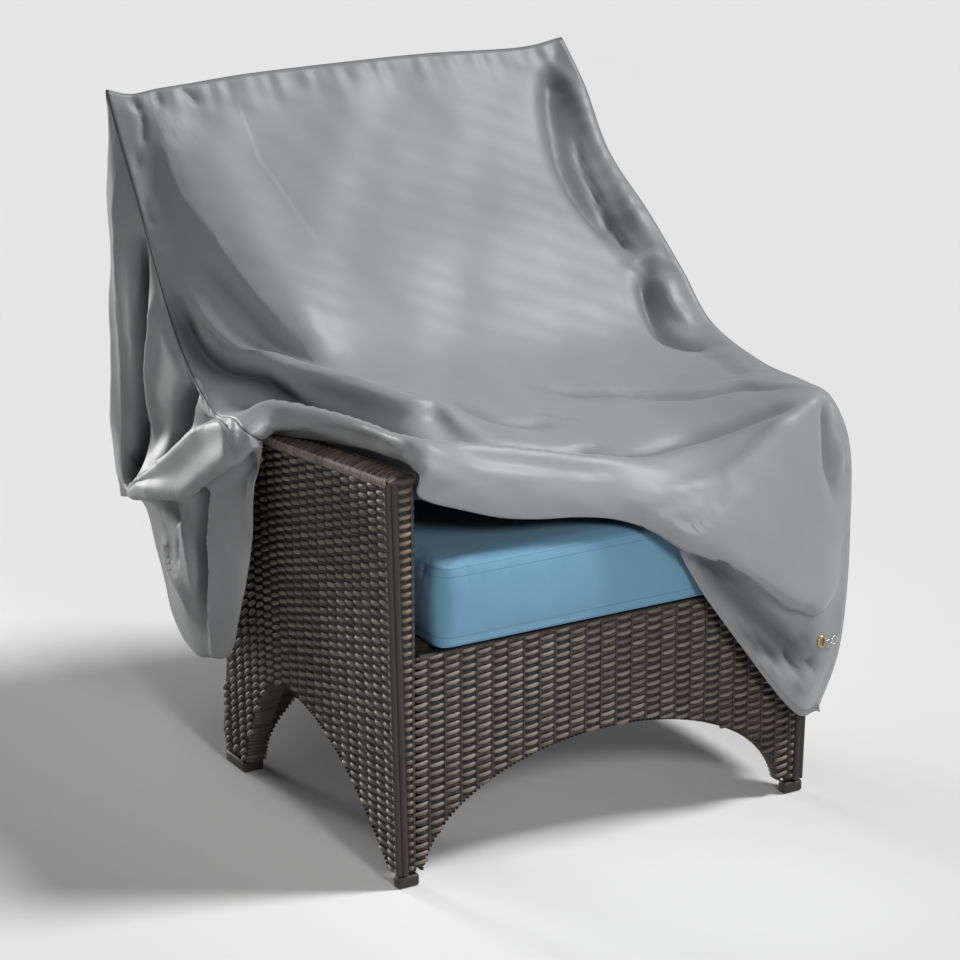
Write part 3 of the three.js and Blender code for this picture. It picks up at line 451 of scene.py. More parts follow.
def deselect_all():
    for item in bpy.context.selected_objects:
        item.select_set(False)


def select_only(piece, *others):
    deselect_all()
    for item in (piece, *others):
        item.select_set(True)
    bpy.context.view_layer.objects.active = piece


def apply_modifiers(piece):
    select_only(piece)
    for modifier in list(piece.modifiers):
        bpy.ops.object.modifier_apply(modifier=modifier.name)
    piece.select_set(False)


def coat(piece, material):
    piece.data.materials.clear()
    piece.data.materials.append(material)


def give(piece, material):
    coat(piece, material)
    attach(piece, "root")


# ---------- the cover's panels ----------

def cloth_piece(name, grid, marks, outward):
    """A closed sheet over a grid of places. marks are values that its finish reads at each place, and
    outward is 1 where the grid's rows and columns turn to the outside, or -1 where they turn inside."""
    quads = grid_quads(grid.shape[:2], outward)
    piece = new_piece(name, grid.reshape(-1, 3), quads)
    for label, values in marks.items():
        mark(piece.data, label, values * MM)
    down = distance_from_edge(grid, "top").mean(axis=1)
    across = distance_from_edge(grid, "left").mean(axis=0)
    flat = np.stack(np.meshgrid(across, down), axis=-1).reshape(-1, 2) * MM
    piece.data.uv_layers.new(name="cloth").data.foreach_set("uv", flat[quads.ravel()].ravel())
    solidify = piece.modifiers.new("cloth thickness", "SOLIDIFY")
    solidify.thickness = CLOTH_THICKNESS * MM
    solidify.offset = 0
    apply_modifiers(piece)
    return piece


def distance_from_edge(grid, side):
    """Distance of each place from one side of its grid: top, bottom, left or right."""
    axis = 0 if side in ("top", "bottom") else 1
    backwards = side in ("bottom", "right")
    steps = np.linalg.norm(np.diff(grid, axis=axis), axis=-1)
    far = np.cumsum(np.flip(steps, axis=axis) if backwards else steps, axis=axis)
    far = np.insert(far, 0, 0, axis=axis)
    return np.flip(far, axis=axis) if backwards else far


def turned_in(grid, marks, side, inward):
    """A panel's grid and marks with its sewn edge on one side turned in behind the seam."""
    if side != "top":
        grid = grid.transpose(1, 0, 2)
    edge = grid[-1 if side == "right" else 0]
    turned = [edge + inward * ALLOWANCE, edge + inward * ALLOWANCE * BEND]
    grid = np.concatenate([grid, turned[::-1]] if side == "right" else [turned, grid])
    if side != "top":
        grid = grid.transpose(1, 0, 2)
    lines = {"top": ((2, 0), (0, 0)), "left": ((0, 0), (2, 0)), "right": ((0, 0), (0, 2))}[side]
    return grid, {label: np.pad(values, lines, mode="edge") for label, values in marks.items()}


def front_panel():
    """The front panel's rows, columns, grid and marks."""
    rows = fine_stations(FRONT_CONTROLS, CLOTH_STEP)
    columns = fine_stations(FRONT_CONTROLS.transpose(1, 0, 2), CLOTH_STEP)
    grid = front_places(rows, columns)
    normals = sheet_normals(grid)
    left, right, top = (distance_from_edge(grid, side) for side in ("left", "right", "top"))
    from_seam = np.minimum(np.minimum(left, right), top)
    push = crease_push(grid, rows, columns, normals, FRONT_CREASES)
    # painted shade for the folds, by their depth
    in_fold = painted_shade_share(push)
    push += 1.6 * uneven(grid, 3, 170) + 0.7 * uneven(grid, 8, 70)
    push *= held_flat(from_seam)
    push += 1.1 * ripple(grid[:, 0], 1, 18, 46)[:, None] * puckers(left, 22)
    push += 2.2 * ripple(grid[:, -1], 2, 20, 52)[:, None] * puckers(right, 26)
    push += 2.4 * ripple(grid[0], 5, 22, 60) * puckers(top, 26)
    grid = grid + normals * push[..., None]
    marks = {"from_hem": distance_from_edge(grid, "bottom"), "from_seam": from_seam, "in_fold": in_fold}
    return rows, columns, grid, marks


def hung_panel(sections, seam_line, seam_places, creases, seed, outward, step):
    """A panel that hangs from a seam: its drops, its grid and its marks."""
    whole_drops = np.arange(len(sections[0][2]) + 1.0)
    rough = hung_places(sections, seam_line, seam_places, whole_drops)
    drops = fine_stations(rough.transpose(1, 0, 2), step)
    grid = hung_places(sections, seam_line, seam_places, drops)
    normals = sheet_normals(grid) * outward
    seam = distance_from_edge(grid, "left")
    push = crease_push(grid, seam_places, drops, normals, creases)
    # painted shade for the folds, by their depth
    in_fold = painted_shade_share(push)
    push += 1.4 * uneven(grid, seed, 150) + 0.6 * uneven(grid, seed + 4, 60)
    push *= held_flat(seam)
    push += 1.3 * ripple(grid[:, 0], seed, 18, 46)[:, None] * puckers(seam, 22)
    push *= np.clip((seam[:, -1:] - SHORT_DROP) / SHORT_DROP, 0, 1)
    grid = grid + normals * push[..., None]
    marks = {"from_hem": distance_from_edge(grid, "right"), "from_seam": seam, "in_fold": in_fold}
    return drops, grid, marks


def into_seam(normals, other_normals):
    return -unit(normals + other_normals)


def make_cover():
    """The cover's four panels by name, and the front panel's rows, columns and grid."""
    rows, columns, front, front_marks = front_panel()
    front_normals = sheet_normals(front)
    cloths, sides, inward = {}, {}, {}
    for side, column, sections, creases, seed, outward, step in (
            ("left", 0, LEFT_SECTIONS, LEFT_CREASES, 6, -1, 4.6),
            ("right", -1, RIGHT_SECTIONS, RIGHT_CREASES, 9, 1, 7.0)):
        sewn = rows <= sections[-1][1] + 1e-9
        drops, grid, marks = hung_panel(sections, front[sewn, column], rows[sewn], creases, seed,
                                        outward, step)
        sides[side] = (grid, drops)
        inward[side] = -front_normals[:, column]
        inward[side][sewn] = into_seam(front_normals[sewn, column], sheet_normals(grid)[:, 0] * outward)
        cloths["cover_" + side + "_side"] = (*turned_in(grid, marks, "left", inward[side][sewn]), outward)
    drops, back, marks = hung_panel(BACK_SECTIONS, front[0], columns, BACK_CREASES, 12, 1, 8.0)
    back = back_edges_sewn(back, drops, sides["left"], sides["right"])
    top = into_seam(front_normals[0], sheet_normals(back)[:, 0])
    cloths["cover_back"] = (*turned_in(back, marks, "left", top), 1)
    inward["top"] = unit(np.concatenate([[inward["left"][0]] * 2, top, [inward["right"][0]] * 2]))
    whole = (front, front_marks)
    for side in ("left", "right", "top"):
        whole = turned_in(*whole, side, inward[side])
    cloths["cover_front"] = (*whole, 1)
    pieces = {name: cloth_piece(name, *cloth) for name, cloth in cloths.items()}
    return pieces, rows, columns, front


def back_edges_sewn(back, drops, left_side, right_side):
    """The back panel's upright edges follow the back edges of the side panels."""
    share = np.linspace(0, 1, len(back))
    for (grid, side_drops), edge, inward in ((left_side, 0, 1), (right_side, -1, -1)):
        followed = read_line(grid[0], side_drops / side_drops[-1], drops / drops[-1])
        followed[:, 0] += inward * SEAM_GAP
        pull = (1 - np.abs(share + edge)) ** EDGE_PULL_POWER
        back = back + pull[:, None, None] * (followed - back[edge])[None]
    return back


# ---------- the woven chair ----------

ARM_OUTER, ARM_INNER, LEG_INSET = 362, 313, 14
ARM_HEIGHT, ARM_FALL = 607, 0.1
GLIDE_HEIGHT = 18
SEAT_HEIGHT = 347
APRON_THICKNESS, REAR_APRON_BACK = 29, 517
SIDE_ARCH = {"front": 14, "crown": 330, "back": 478, "height": 190}
FRONT_ARCH = {"half": 307, "height": 173}
REAR_LEG_LINE = {"heights": [0, 46, 230, 547], "back": [546, 556, 524, 600]}
STRAND_PITCH = 12.4               # between strands that pass over the same stake
STAKE_PITCH = 25.7
SIDE_STRAND_WIDTH, FRONT_STRAND_WIDTH = 6.9, 5.8
FULLNESS = 0.42                   # height of a strand's rounding, as a share of its width
LAST_STAKE = 13                   # of the stakes on each side of the middle of the front
CORNER_POST = 19                  # width of the dark upright at each front corner
BACKING_INSET = 3.4               # from a woven face down to the backing, which is painted near-black as the shade between the strands
WRAP_STEP = 7.0                   # between the strands wrapped round an arch
INSET = {"back": 8, "arm": 13, "post": 12, "seat": 6, "glide": 8, "arch": 4}     # of the woven faces


def stacked(x, y, z):
    """Places or directions from their three parts, each one number or a row of them."""
    return np.stack(np.broadcast_arrays(x, y, z), axis=-1).astype(float)


def arm_top(y):
    return ARM_HEIGHT - ARM_FALL * y


def arm_outer(z):
    return ARM_OUTER - LEG_INSET * (1 - z / ARM_HEIGHT)


def side_arch_height(y):
    arch = SIDE_ARCH
    before = 1 - np.abs((arch["crown"] - y) / (arch["crown"] - arch["front"])) ** 2
    behind = 1 - np.clip((y - arch["crown"]) / (arch["back"] - arch["crown"]), 0, 2) ** 2.5
    return arch["height"] * np.where(y < arch["crown"], before, behind)


def front_arch_height(x):
    return FRONT_ARCH["height"] * np.sqrt(np.clip(1 - (x / FRONT_ARCH["half"]) ** 2, 0, 1))


def on_side(y, z):
    """True where a side panel is woven."""
    back = np.interp(z, REAR_LEG_LINE["heights"], REAR_LEG_LINE["back"])
    return (y < back - INSET["back"]) & (z < arm_top(y) - INSET["arm"]) & (z > GLIDE_HEIGHT + 5) & (
        z > side_arch_height(y) + INSET["arch"])


def on_post(x, z):
    """True where the front of an arm is woven."""
    return (np.abs(x) > ARM_INNER) & (z < ARM_HEIGHT - INSET["post"]) & (z > GLIDE_HEIGHT + INSET["glide"])


def on_apron(x, z):
    """True where the apron between the arms is woven."""
    return (np.abs(x) < ARM_INNER) & (z < SEAT_HEIGHT - INSET["seat"]) & (
        z > GLIDE_HEIGHT + INSET["glide"]) & (z > front_arch_height(x) + INSET["arch"])


def side_strand_height(y, below_top):
    """Strands of a side run level at the top and droop over the arch and into the legs lower down."""
    crown = SIDE_ARCH["crown"]
    height = arm_top(y) - below_top
    for past_crown, droop, starts, depth, reach, power in (
            (crown - y, 42, 90, 300, crown, 1.6), (y - crown, 105, 40, 260, 200, 1.7)):
        low = np.clip((below_top - starts) / depth, 0, 1)
        height = height - droop * low * (np.clip(past_crown, 0, None) / reach) ** power
    return height


def strand_run(spots, along, outward, length, width, rise, sunk, tone, steps, sides):
    """Strands where they show between stakes: each is rounded, bows outwards and dives at its ends."""
    s, t = np.meshgrid(np.linspace(-1, 1, steps + 1), np.linspace(0, math.pi, sides + 1), indexing="ij")
    taper = np.sqrt(1 - 0.75 * s**4)
    lift = rise * np.cos(math.pi / 2 * s) - sunk + np.sin(t) * taper * width * FULLNESS
    along, outward = (np.broadcast_to(way, spots.shape) for way in (along, outward))
    upward = np.cross(outward, along)
    length = np.broadcast_to(length, len(spots))[:, None, None, None]
    places = (spots[:, None, None, :]
              + along[:, None, None, :] * s[None, ..., None] * length / 2
              + upward[:, None, None, :] * (np.cos(t) * taper)[None, ..., None] * width / 2
              + outward[:, None, None, :] * lift[None, ..., None])
    starts = np.arange(len(spots))[:, None, None] * s.size
    return places.reshape(-1, 3), (starts + grid_quads(s.shape)).reshape(-1, 4), np.repeat(tone, s.size)


def tone_of(strand, stake, seed):
    """Shade of each length of strand, which differs from strand to strand and drifts along each."""
    own = np.modf(np.abs(np.sin(strand * 12.9898 + seed) * 43758.5453))[0]
    drift = np.sin(stake * 0.37 + own * 40) * 0.5 + 0.5
    return 0.48 + 0.3 * own + 0.22 * drift


def woven_face(strand_count, stakes, place_of, shown, outward, seed, coarse, width):
    """Strands that pass over one stake and under the next, on one face of the chair. place_of gives
    their places, directions and lengths, and shown says where the face is woven."""
    strand, stake = (values.ravel() for values in np.meshgrid(range(strand_count), stakes, indexing="ij"))
    lots = []
    # The strands that pass under a stake are sunk, and their tone is cut to 0.16 of the others: painted
    # shade in the hollows of the weave.
    for under, wide, part, rise, sunk, painted_shade_factor, fineness in (
            (0, width, 1, 2.4, 3.4, 1, (5, 3) if coarse else (8, 4)), (1, 6.2, 0.6, 0.4, 5.4, 0.16, (3, 2))):
        chosen = (strand + stake) % 2 == under
        spots, along, length = place_of(strand[chosen], stake[chosen])
        inside = shown(spots)
        tone = tone_of(strand[chosen][inside], stake[chosen][inside], seed) * painted_shade_factor
        lots.append(strand_run(spots[inside], along[inside], outward, length[inside] * part, wide, rise,
                               sunk, tone, *fineness))
    return lots


def side_face(side, outer, lowest, highest, seed, coarse=False):
    """The outer or inner face of the left (-1) or right (+1) side panel."""
    facing = side if outer else -side

    def place_of(strand, stake):
        y = 20 + stake * STAKE_PITCH
        below = 9 + strand * STRAND_PITCH / 2
        z = side_strand_height(y, below)
        x = side * (arm_outer(z) if outer else ARM_INNER)
        slope = (side_strand_height(y + 6, below) - side_strand_height(y - 6, below)) / 12 - 0.1
        return stacked(x, y, z), unit(stacked(0, 1, slope)) * facing, np.full(len(y), 24.0)

    def shown(spots):
        return on_side(spots[:, 1], spots[:, 2]) & (spots[:, 2] > lowest) & (spots[:, 2] < highest)

    return woven_face(100, range(24), place_of, shown, (facing, 0.0, 0.0), seed, coarse, SIDE_STRAND_WIDTH)


def cross_face(y, facing, part, seed, coarse=False):
    """A woven face across the chair: the front (facing -1) or the rear (facing 1)."""
    def place_of(strand, stake):
        z = GLIDE_HEIGHT + 4 + strand * STRAND_PITCH / 2
        last = np.abs(stake) == LAST_STAKE
        inner, outer = (LAST_STAKE - 0.5) * STAKE_PITCH, arm_outer(z) - CORNER_POST
        x = np.where(last, np.sign(stake) * (inner + outer) / 2, stake * STAKE_PITCH)
        length = np.where(last, outer - inner - 1, 22.5)
        return stacked(x, y, z), unit(stacked(-facing, 0, np.full(len(z), 0.11))), length

    return woven_face(96, range(-LAST_STAKE, LAST_STAKE + 1), place_of,
                      lambda spots: part(spots[:, 0], spots[:, 2]), (0.0, facing, 0.0), seed, coarse,
                      FRONT_STRAND_WIDTH)


def upright_cord(low, high, outward, radius, tone, steps=12, sides=5):
    """A half-round upright stake from a low to a high place."""
    low, high = np.array([low, high], dtype=float)
    outward = unit(np.array(outward, dtype=float))
    share = np.linspace(0, 1, steps + 1)[:, None, None]
    turn = np.linspace(0, math.pi, sides + 1)[None, :, None]
    sideways = np.cross(outward, unit(high - low))
    places = low * (1 - share) + high * share + radius * (np.cos(turn) * sideways + np.sin(turn) * outward)
    shape = (steps + 1, sides + 1)
    return places.reshape(-1, 3), grid_quads(shape), np.full(shape[0] * shape[1], tone)


def front_stakes(part, y, facing):
    """The thin uprights that show between the columns of strands across the front or rear."""
    heights = np.arange(GLIDE_HEIGHT + 4, ARM_HEIGHT - 12, 4.0)
    lots = []
    for stake in range(-LAST_STAKE, LAST_STAKE):
        x = (stake + 0.5) * STAKE_PITCH
        inside = heights[part(np.full_like(heights, x), heights)]
        if len(inside) > 2:
            ends = [(x, y - facing * 2.6, z) for z in (inside[0], inside[-1])]
            lots.append(upright_cord(*ends, (0, facing, 0), 1.5, 0.3, steps=2))
    return lots


def corner_posts(side):
    """The dark uprights at the front corner of an arm, and the strand ends turned over its edge."""
    low, high = GLIDE_HEIGHT + 2, ARM_HEIGHT - 8
    lots = []
    for from_edge, depth, outward, radius in ((13.2, 4.2, (0, -1, 0), 5.6), (4.6, 5.0, (side, -1, 0), 5.0)):
        ends = [(side * (arm_outer(z) - from_edge), depth, z) for z in (low, high)]
        lots.append(upright_cord(*ends, outward, radius, 0.1))
    z = np.arange(low + 6, high - 6, STRAND_PITCH)
    lots.append(strand_run(stacked(side * arm_outer(z), 6.5, z), unit(stacked(0, 1, 0.25)) * side,
                           unit(stacked(side, -0.3, 0)), 7.5, 5.2, 1.4, 1.9, 0 * z + 0.95, 4, 3))
    return lots


def arm_top_ribs(side, back):
    """Slanting ribs across the top of an arm, from its inner rear to its outer front."""
    y = np.arange(4.0, back - 30, STRAND_PITCH * 1.3)
    spots = stacked(side * (ARM_INNER + ARM_OUTER) / 2, y + 14, arm_top(y + 14))
    tone = tone_of(np.arange(len(y)), 0 * y, 31) * 0.6
    return strand_run(spots, unit(stacked(-side, 0.72, -0.072)), unit(stacked(0, ARM_FALL, 1)), 56, 11.5,
                      1.2, 4.4, tone, 10, 4)


def arm_edge_turns(side, outer, back):
    """The close upright turns where the strands wrap over a long edge of an arm."""
    y = np.arange(5.0, back, 6.2)
    z = arm_top(y) - 6
    spots = stacked(side * (arm_outer(z) if outer else ARM_INNER), y, z)
    along = unit(stacked(0, 0.35 + 0.2 * np.sin(y * 0.9), 1))
    tone = 0.25 + tone_of(np.arange(len(y)), y / 9, 17)
    return strand_run(spots, along, unit(stacked(side if outer else -side, 0, 0.25)), 14, 5.6, 1.8, 3.0,
                      tone, 5, 3)


def curve_walk(across, height):
    """Evenly spaced places on an arch, with the unit normals on its left as it is walked."""
    line = np.stack([across, height], -1)
    far = along_edge(line)
    spots = read_line(line, far, np.arange(WRAP_STEP / 2, far[-1], WRAP_STEP))
    ahead = unit(np.gradient(spots, axis=0))
    return np.stack([spots[:, 0], spots[:, 1], ahead[:, 1], -ahead[:, 0]])


def arch_wrap(places, outward, across, length):
    """Strands wrapped round the edge of an arch, side by side."""
    tone = tone_of(np.arange(len(places)), np.arange(len(places)), 53) * 0.55
    return strand_run(places, across, outward, length, 7.6, 0.6, 3.2, tone, 4, 3)


def side_arch_wrap(side):
    y = np.linspace(SIDE_ARCH["front"] + 16, SIDE_ARCH["back"] - 3, 400)
    walk = curve_walk(y, side_arch_height(y))
    y, z, out_y, out_z = walk[:, walk[1] > GLIDE_HEIGHT + 3]
    return arch_wrap(stacked(side * ((ARM_INNER + arm_outer(z)) / 2), y, z), stacked(0, out_y, out_z),
                     (1.0, 0.0, 0.0), arm_outer(z) - ARM_INNER - 2)


def apron_arch_wrap(front):
    x = FRONT_ARCH["half"] * np.cos(np.linspace(math.pi - 0.11, 0.11, 500))
    x, z, out_x, out_z = curve_walk(x, front_arch_height(x))
    return arch_wrap(stacked(x, front + APRON_THICKNESS / 2, z), stacked(out_x, 0, out_z),
                     (0.0, 1.0, 0.0), APRON_THICKNESS - 2)


def strand_piece(name, lots, material):
    """One piece of all the strands in several lots, each with its tone."""
    starts = np.cumsum([0] + [len(places) for places, _, _ in lots])
    quads = np.concatenate([quads + start for (_, quads, _), start in zip(lots, starts)])
    piece = new_piece(name, np.concatenate([places for places, _, _ in lots]), quads)
    mark(piece.data, "tone", np.concatenate([tones for _, _, tones in lots]))
    coat(piece, material)
    return piece


def backing(node, material):
    """A copy of a plain part of the chair, drawn in to lie behind its strands, where its dark finish is
    painted shade in the gaps of the weave.
    """
    piece = frame["nodes"][node].copy()
    piece.data = piece.data.copy()
    piece.parent = None
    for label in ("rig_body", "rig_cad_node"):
        del piece[label]
    bpy.context.collection.objects.link(piece)
    coat(piece, material)
    select_only(piece)
    bpy.ops.object.mode_set(mode="EDIT")
    bpy.ops.mesh.select_all(action="SELECT")
    bpy.ops.mesh.remove_doubles(threshold=0.00001)
    bpy.ops.mesh.normals_make_consistent(inside=False)
    bpy.ops.transform.shrink_fatten(value=-BACKING_INSET * MM, use_even_offset=True)
    bpy.ops.object.mode_set(mode="OBJECT")
    return piece


def woven_part(part, lots, strand, weave):
    """A woven part of the chair: its strands over a backing painted dark as the shade between them, in place
    of its plain solid.
    """
    piece = strand_piece("woven_" + part, lots, strand)
    select_only(piece, backing("armchair_" + part, weave))
    bpy.ops.object.join()
    piece.select_set(False)
    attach(piece, "root")
    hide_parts("armchair_" + part)


def make_chair():
    strand, weave = resin_strand(), painted_shade_weave()
    for name, side, highest, seed in (("left_side", -1, 700, 3), ("right_side", 1, 330, 11)):
        def own_post(x, z):
            return on_post(x, z) & (side * x > 0)
        lots = side_face(side, True, 0, highest, seed)
        lots += side_face(side, False, 340, 700, seed + 2, coarse=True)
        lots += cross_face(0, -1, own_post, 7) + front_stakes(own_post, 0, -1) + corner_posts(side)
        if name == "left_side":
            lots += [arm_top_ribs(side, 420), arm_edge_turns(side, True, 420)]
        lots += [arm_edge_turns(side, False, 300), side_arch_wrap(side)]
        woven_part(name, lots, strand, weave)
    front = cross_face(0, -1, on_apron, 7) + front_stakes(on_apron, 0, -1) + [apron_arch_wrap(0)]
    woven_part("front_apron", front, strand, weave)
    rear = cross_face(REAR_APRON_BACK, 1, on_apron, 19, coarse=True)
    rear += [apron_arch_wrap(REAR_APRON_BACK - APRON_THICKNESS)] + front_stakes(on_apron, REAR_APRON_BACK, 1)
    woven_part("rear_apron", rear, strand, weave)
    # the deck and back rest take the weave painted near-black as shade
    for node in ("armchair_seat_deck", "armchair_back_rest"):
        coat(frame["nodes"][node], weave)


# ---------- the seat cushion ----------

CUSHION_STEP = 6.2
LOW_ROOM, HIGH_ROOM = (6, 6, 1), (6, 6, 6)    # left round the cut cover for its filling
CUSHION_CORNER = 22               # radius of its upright corners
CUSHION_SEAM = 9                  # from its top and bottom down and up to its seams
CUSHION_SWELL = 7                 # most that the filling may push any place out
SEAM_HELD, WALL_HELD = 4, 0.99    # how near a seam, and how far out on the wall, a place is held
SEAM_DRAW, SEAM_SPREAD = 1.6, 3.0     # how far a seam is drawn in, and over what distance
FAR_FROM_SEAM = 50.0


def cushion_shell(low, high):
    """A box of close faces with rounded upright corners, as the cut cover before it is filled."""
    size = high - low
    counts = np.maximum(2, np.round(size / CUSHION_STEP)).astype(int)
    places, quads = [], []
    for axis in range(3):
        first, second = [k for k in range(3) if k != axis]
        u, v = np.meshgrid(np.linspace(0, 1, counts[first] + 1), np.linspace(0, 1, counts[second] + 1),
                           indexing="ij")
        for end in (0, 1):
            lot = np.zeros(u.shape + (3,))
            lot[..., first], lot[..., second], lot[..., axis] = u, v, end
            outward = 1 if (axis != 1) == (end == 1) else -1
            quads.append(grid_quads(u.shape, outward) + sum(len(p) for p in places))
            places.append(lot.reshape(-1, 3))
    box = low + np.concatenate(places) * size
    corner = (CUSHION_CORNER, CUSHION_CORNER, 0)
    inner = np.clip(box, low + corner, high - corner)
    spoke = (box - inner)[:, :2]
    reach = np.abs(spoke).max(axis=1, keepdims=True)
    box[:, :2] = inner[:, :2] + unit(spoke) * reach
    return box, np.concatenate(quads)


def make_cushion():
    low, high = ((np.array(corner) - CHAIR_ORIGIN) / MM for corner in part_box("seat_cushion"))
    piece = new_piece("blue_seat_cushion", *cushion_shell(low + LOW_ROOM, high - HIGH_ROOM))
    mesh = piece.data
    shape = bmesh.new()
    shape.from_mesh(mesh)
    bmesh.ops.remove_doubles(shape, verts=shape.verts, dist=0.00002)
    shape.to_mesh(mesh)
    shape.free()
    start = read_places(mesh)
    height = (start[:, 2] - start[:, 2].min()) / MM
    from_seam = np.minimum(np.abs(height - CUSHION_SEAM), np.abs(height - height.max() + CUSHION_SEAM))
    fill_cushion(piece, start, height, from_seam)
    seams_sewn(mesh, start, from_seam)
    subdivide = piece.modifiers.new("finer", "SUBSURF")
    subdivide.levels = subdivide.render_levels = 1
    apply_modifiers(piece)
    give(piece, blue_canvas())
    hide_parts("seat_cushion")


def read_places(mesh):
    places = np.empty(len(mesh.vertices) * 3)
    mesh.vertices.foreach_get("co", places)
    return places.reshape(-1, 3)


def fill_cushion(piece, start, height, from_seam):
    """The filling swells the cover: cloth under pressure, held at its bottom and along its seams."""
    held = piece.vertex_groups.new(name="held")
    on_seam = (from_seam < SEAM_HELD) & (wall_share(start) > WALL_HELD) & (height >= 1)
    for places, share in ((height < 1, 1.0), (on_seam, 0.35)):
        for k in np.flatnonzero(places):
            held.add([int(k)], share, "REPLACE")
    filling = piece.modifiers.new("filling", "CLOTH")
    filling.settings.use_pressure = True
    filling.settings.uniform_pressure_force = 4.0
    filling.settings.vertex_group_mass = "held"
    filling.settings.effector_weights.gravity = 0
    filling.settings.quality = 5
    scene = bpy.context.scene
    for step in range(1, 13):
        scene.frame_set(step)
    pumped = piece.evaluated_get(bpy.context.evaluated_depsgraph_get()).data
    moved = read_places(pumped) - start
    scene.frame_set(1)
    piece.modifiers.remove(filling)
    far = np.linalg.norm(moved, axis=1, keepdims=True) / MM
    moved *= np.tanh(far / CUSHION_SWELL) * CUSHION_SWELL / np.maximum(far, 1e-6)
    filled = start + moved
    filled[:, 2] = np.maximum(filled[:, 2], start[:, 2].min())
    piece.data.vertices.foreach_set("co", filled.ravel())


def wall_share(places):
    """1 on the cushion's upright walls, falling to 0 towards the middle of its top and bottom."""
    low, high = places.min(axis=0), places.max(axis=0)
    inside = np.minimum(places - low, high - places)[:, :2].min(axis=1) / MM
    return np.clip(1 - inside / CUSHION_CORNER, 0, 1)


def seams_sewn(mesh, start, from_seam):
    """Draws the seams in round the top and bottom edges, and marks how far each place is from them."""
    from_seam = np.where(wall_share(start) > 0.2, from_seam, FAR_FROM_SEAM)
    places = read_places(mesh)
    outward = places - places.mean(axis=0)
    outward[:, 2] = 0
    places -= unit(outward) * (SEAM_DRAW * MM * np.exp(-(from_seam / SEAM_SPREAD) ** 2))[:, None]
    mesh.vertices.foreach_set("co", places.ravel())
    mark(mesh, "from_seam", from_seam * MM)


# ---------- the eyelet, its link and ring, and the chair's glides ----------

EYELET = {"row": 11.6, "column": 8.4, "radius": 7.4, "tube": 1.8}
LINK = {"from": 4, "to": 20, "radius": 0.8, "narrow": 0.36}
RING = {"along": 24.5, "radius": 6.2, "tube": 0.9}


def turned(name, radius, tube, flatten, shift, slot, material, node):
    """A metal ring about its own axis, moved to its place on the cloth."""
    deselect_all()
    bpy.ops.mesh.primitive_torus_add(major_segments=56, minor_segments=16, major_radius=radius * MM,
                                     minor_radius=tube * MM, location=(0, 0, 0))
    piece = bpy.context.active_object
    bpy.ops.object.mode_set(mode="EDIT")
    bpy.ops.transform.resize(value=(1, 1, flatten))
    bpy.ops.object.mode_set(mode="OBJECT")
    piece.name = piece.data.name = name
    piece.data.transform(shift)
    smooth(piece.data)
    give(piece, material)
    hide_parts(node)


def make_trim(rows, columns, cloth_grid):
    """The eyelet lies on the cloth near its hem. The link goes through it and carries the ring."""
    at = np.array([EYELET["row"], EYELET["column"]]) + [(0, 0), (0, 0.1), (0.1, 0)]
    here, right, below = sampled(cloth_grid, rows, columns, at)
    across = unit(right - here)
    normal = unit(np.cross(below - here, across))
    turn = Matrix([across, np.cross(normal, across), normal]).transposed().to_4x4()

    def shift(along, lift):
        place = in_metres(here + across * along + normal * (CLOTH_THICKNESS / 2 + lift))
        return Matrix.Translation(Vector(place)) @ turn

    brass = polished_metal("brass", (0.5, 0.33, 0.1), (0.75, 0.52, 0.2), 0.25)
    steel = polished_metal("bright_steel", (0.6, 0.6, 0.6), (0.82, 0.82, 0.82), 0.18)
    turned("brass_grommet", EYELET["radius"], EYELET["tube"], 0.8, shift(0, EYELET["tube"] + 0.15), "brass",
           brass, "brass_eyelet")
    height = 2 * EYELET["tube"] + 0.4
    turned("steel_key_ring", RING["radius"], RING["tube"], 1.0, shift(RING["along"], height),
           "bright_steel", steel, "steel_ring")
    middle, half = (LINK["from"] + LINK["to"]) / 2, (LINK["to"] - LINK["from"]) / 2
    turned("steel_chain_link", half, LINK["radius"], 1.0,
           shift(middle, height + 1.8) @ Matrix.Diagonal((1, LINK["narrow"], 1, 1)), "bright_steel", steel,
           "steel_link")


def make_glides():
    material = dark_plastic()
    for corner in ("front_left", "front_right", "rear_left", "rear_right"):
        low, high = (np.array(end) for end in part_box(corner + "_glide"))
        deselect_all()
        bpy.ops.mesh.primitive_cube_add(size=1, location=(0, 0, 0))
        piece = bpy.context.active_object
        piece.name = piece.data.name = corner + "_cap"
        piece.data.transform(Matrix.Translation((low + high) / 2) @ Matrix.Diagonal((*(high - low), 1)))
        rounding = piece.modifiers.new("rounding", "BEVEL")
        rounding.width, rounding.segments = 0.004, 4
        apply_modifiers(piece)
        smooth(piece.data)
        give(piece, material)
        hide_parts(corner + "_glide")


# ---------- shader maths ----------

def maths(operation, reflected=False):
    """A method of a Field that adds one Math node."""
    def method(self, *others):
        values = [*others, self] if reflected else [self, *others]
        return self.nodes.add("ShaderNodeMath", {"operation": operation}, values)
    return method


class Field:
    """A value that varies over a surface: arithmetic on it adds the Math nodes."""

    def __init__(self, nodes, socket):
        self.nodes, self.socket = nodes, socket

    __add__, __radd__ = maths("ADD"), maths("ADD", reflected=True)
    __sub__, __rsub__ = maths("SUBTRACT"), maths("SUBTRACT", reflected=True)
    __mul__, __rmul__ = maths("MULTIPLY"), maths("MULTIPLY", reflected=True)
    sine, size, part = maths("SINE"), maths("ABSOLUTE"), maths("FRACT")
    below, above = maths("LESS_THAN"), maths("GREATER_THAN")


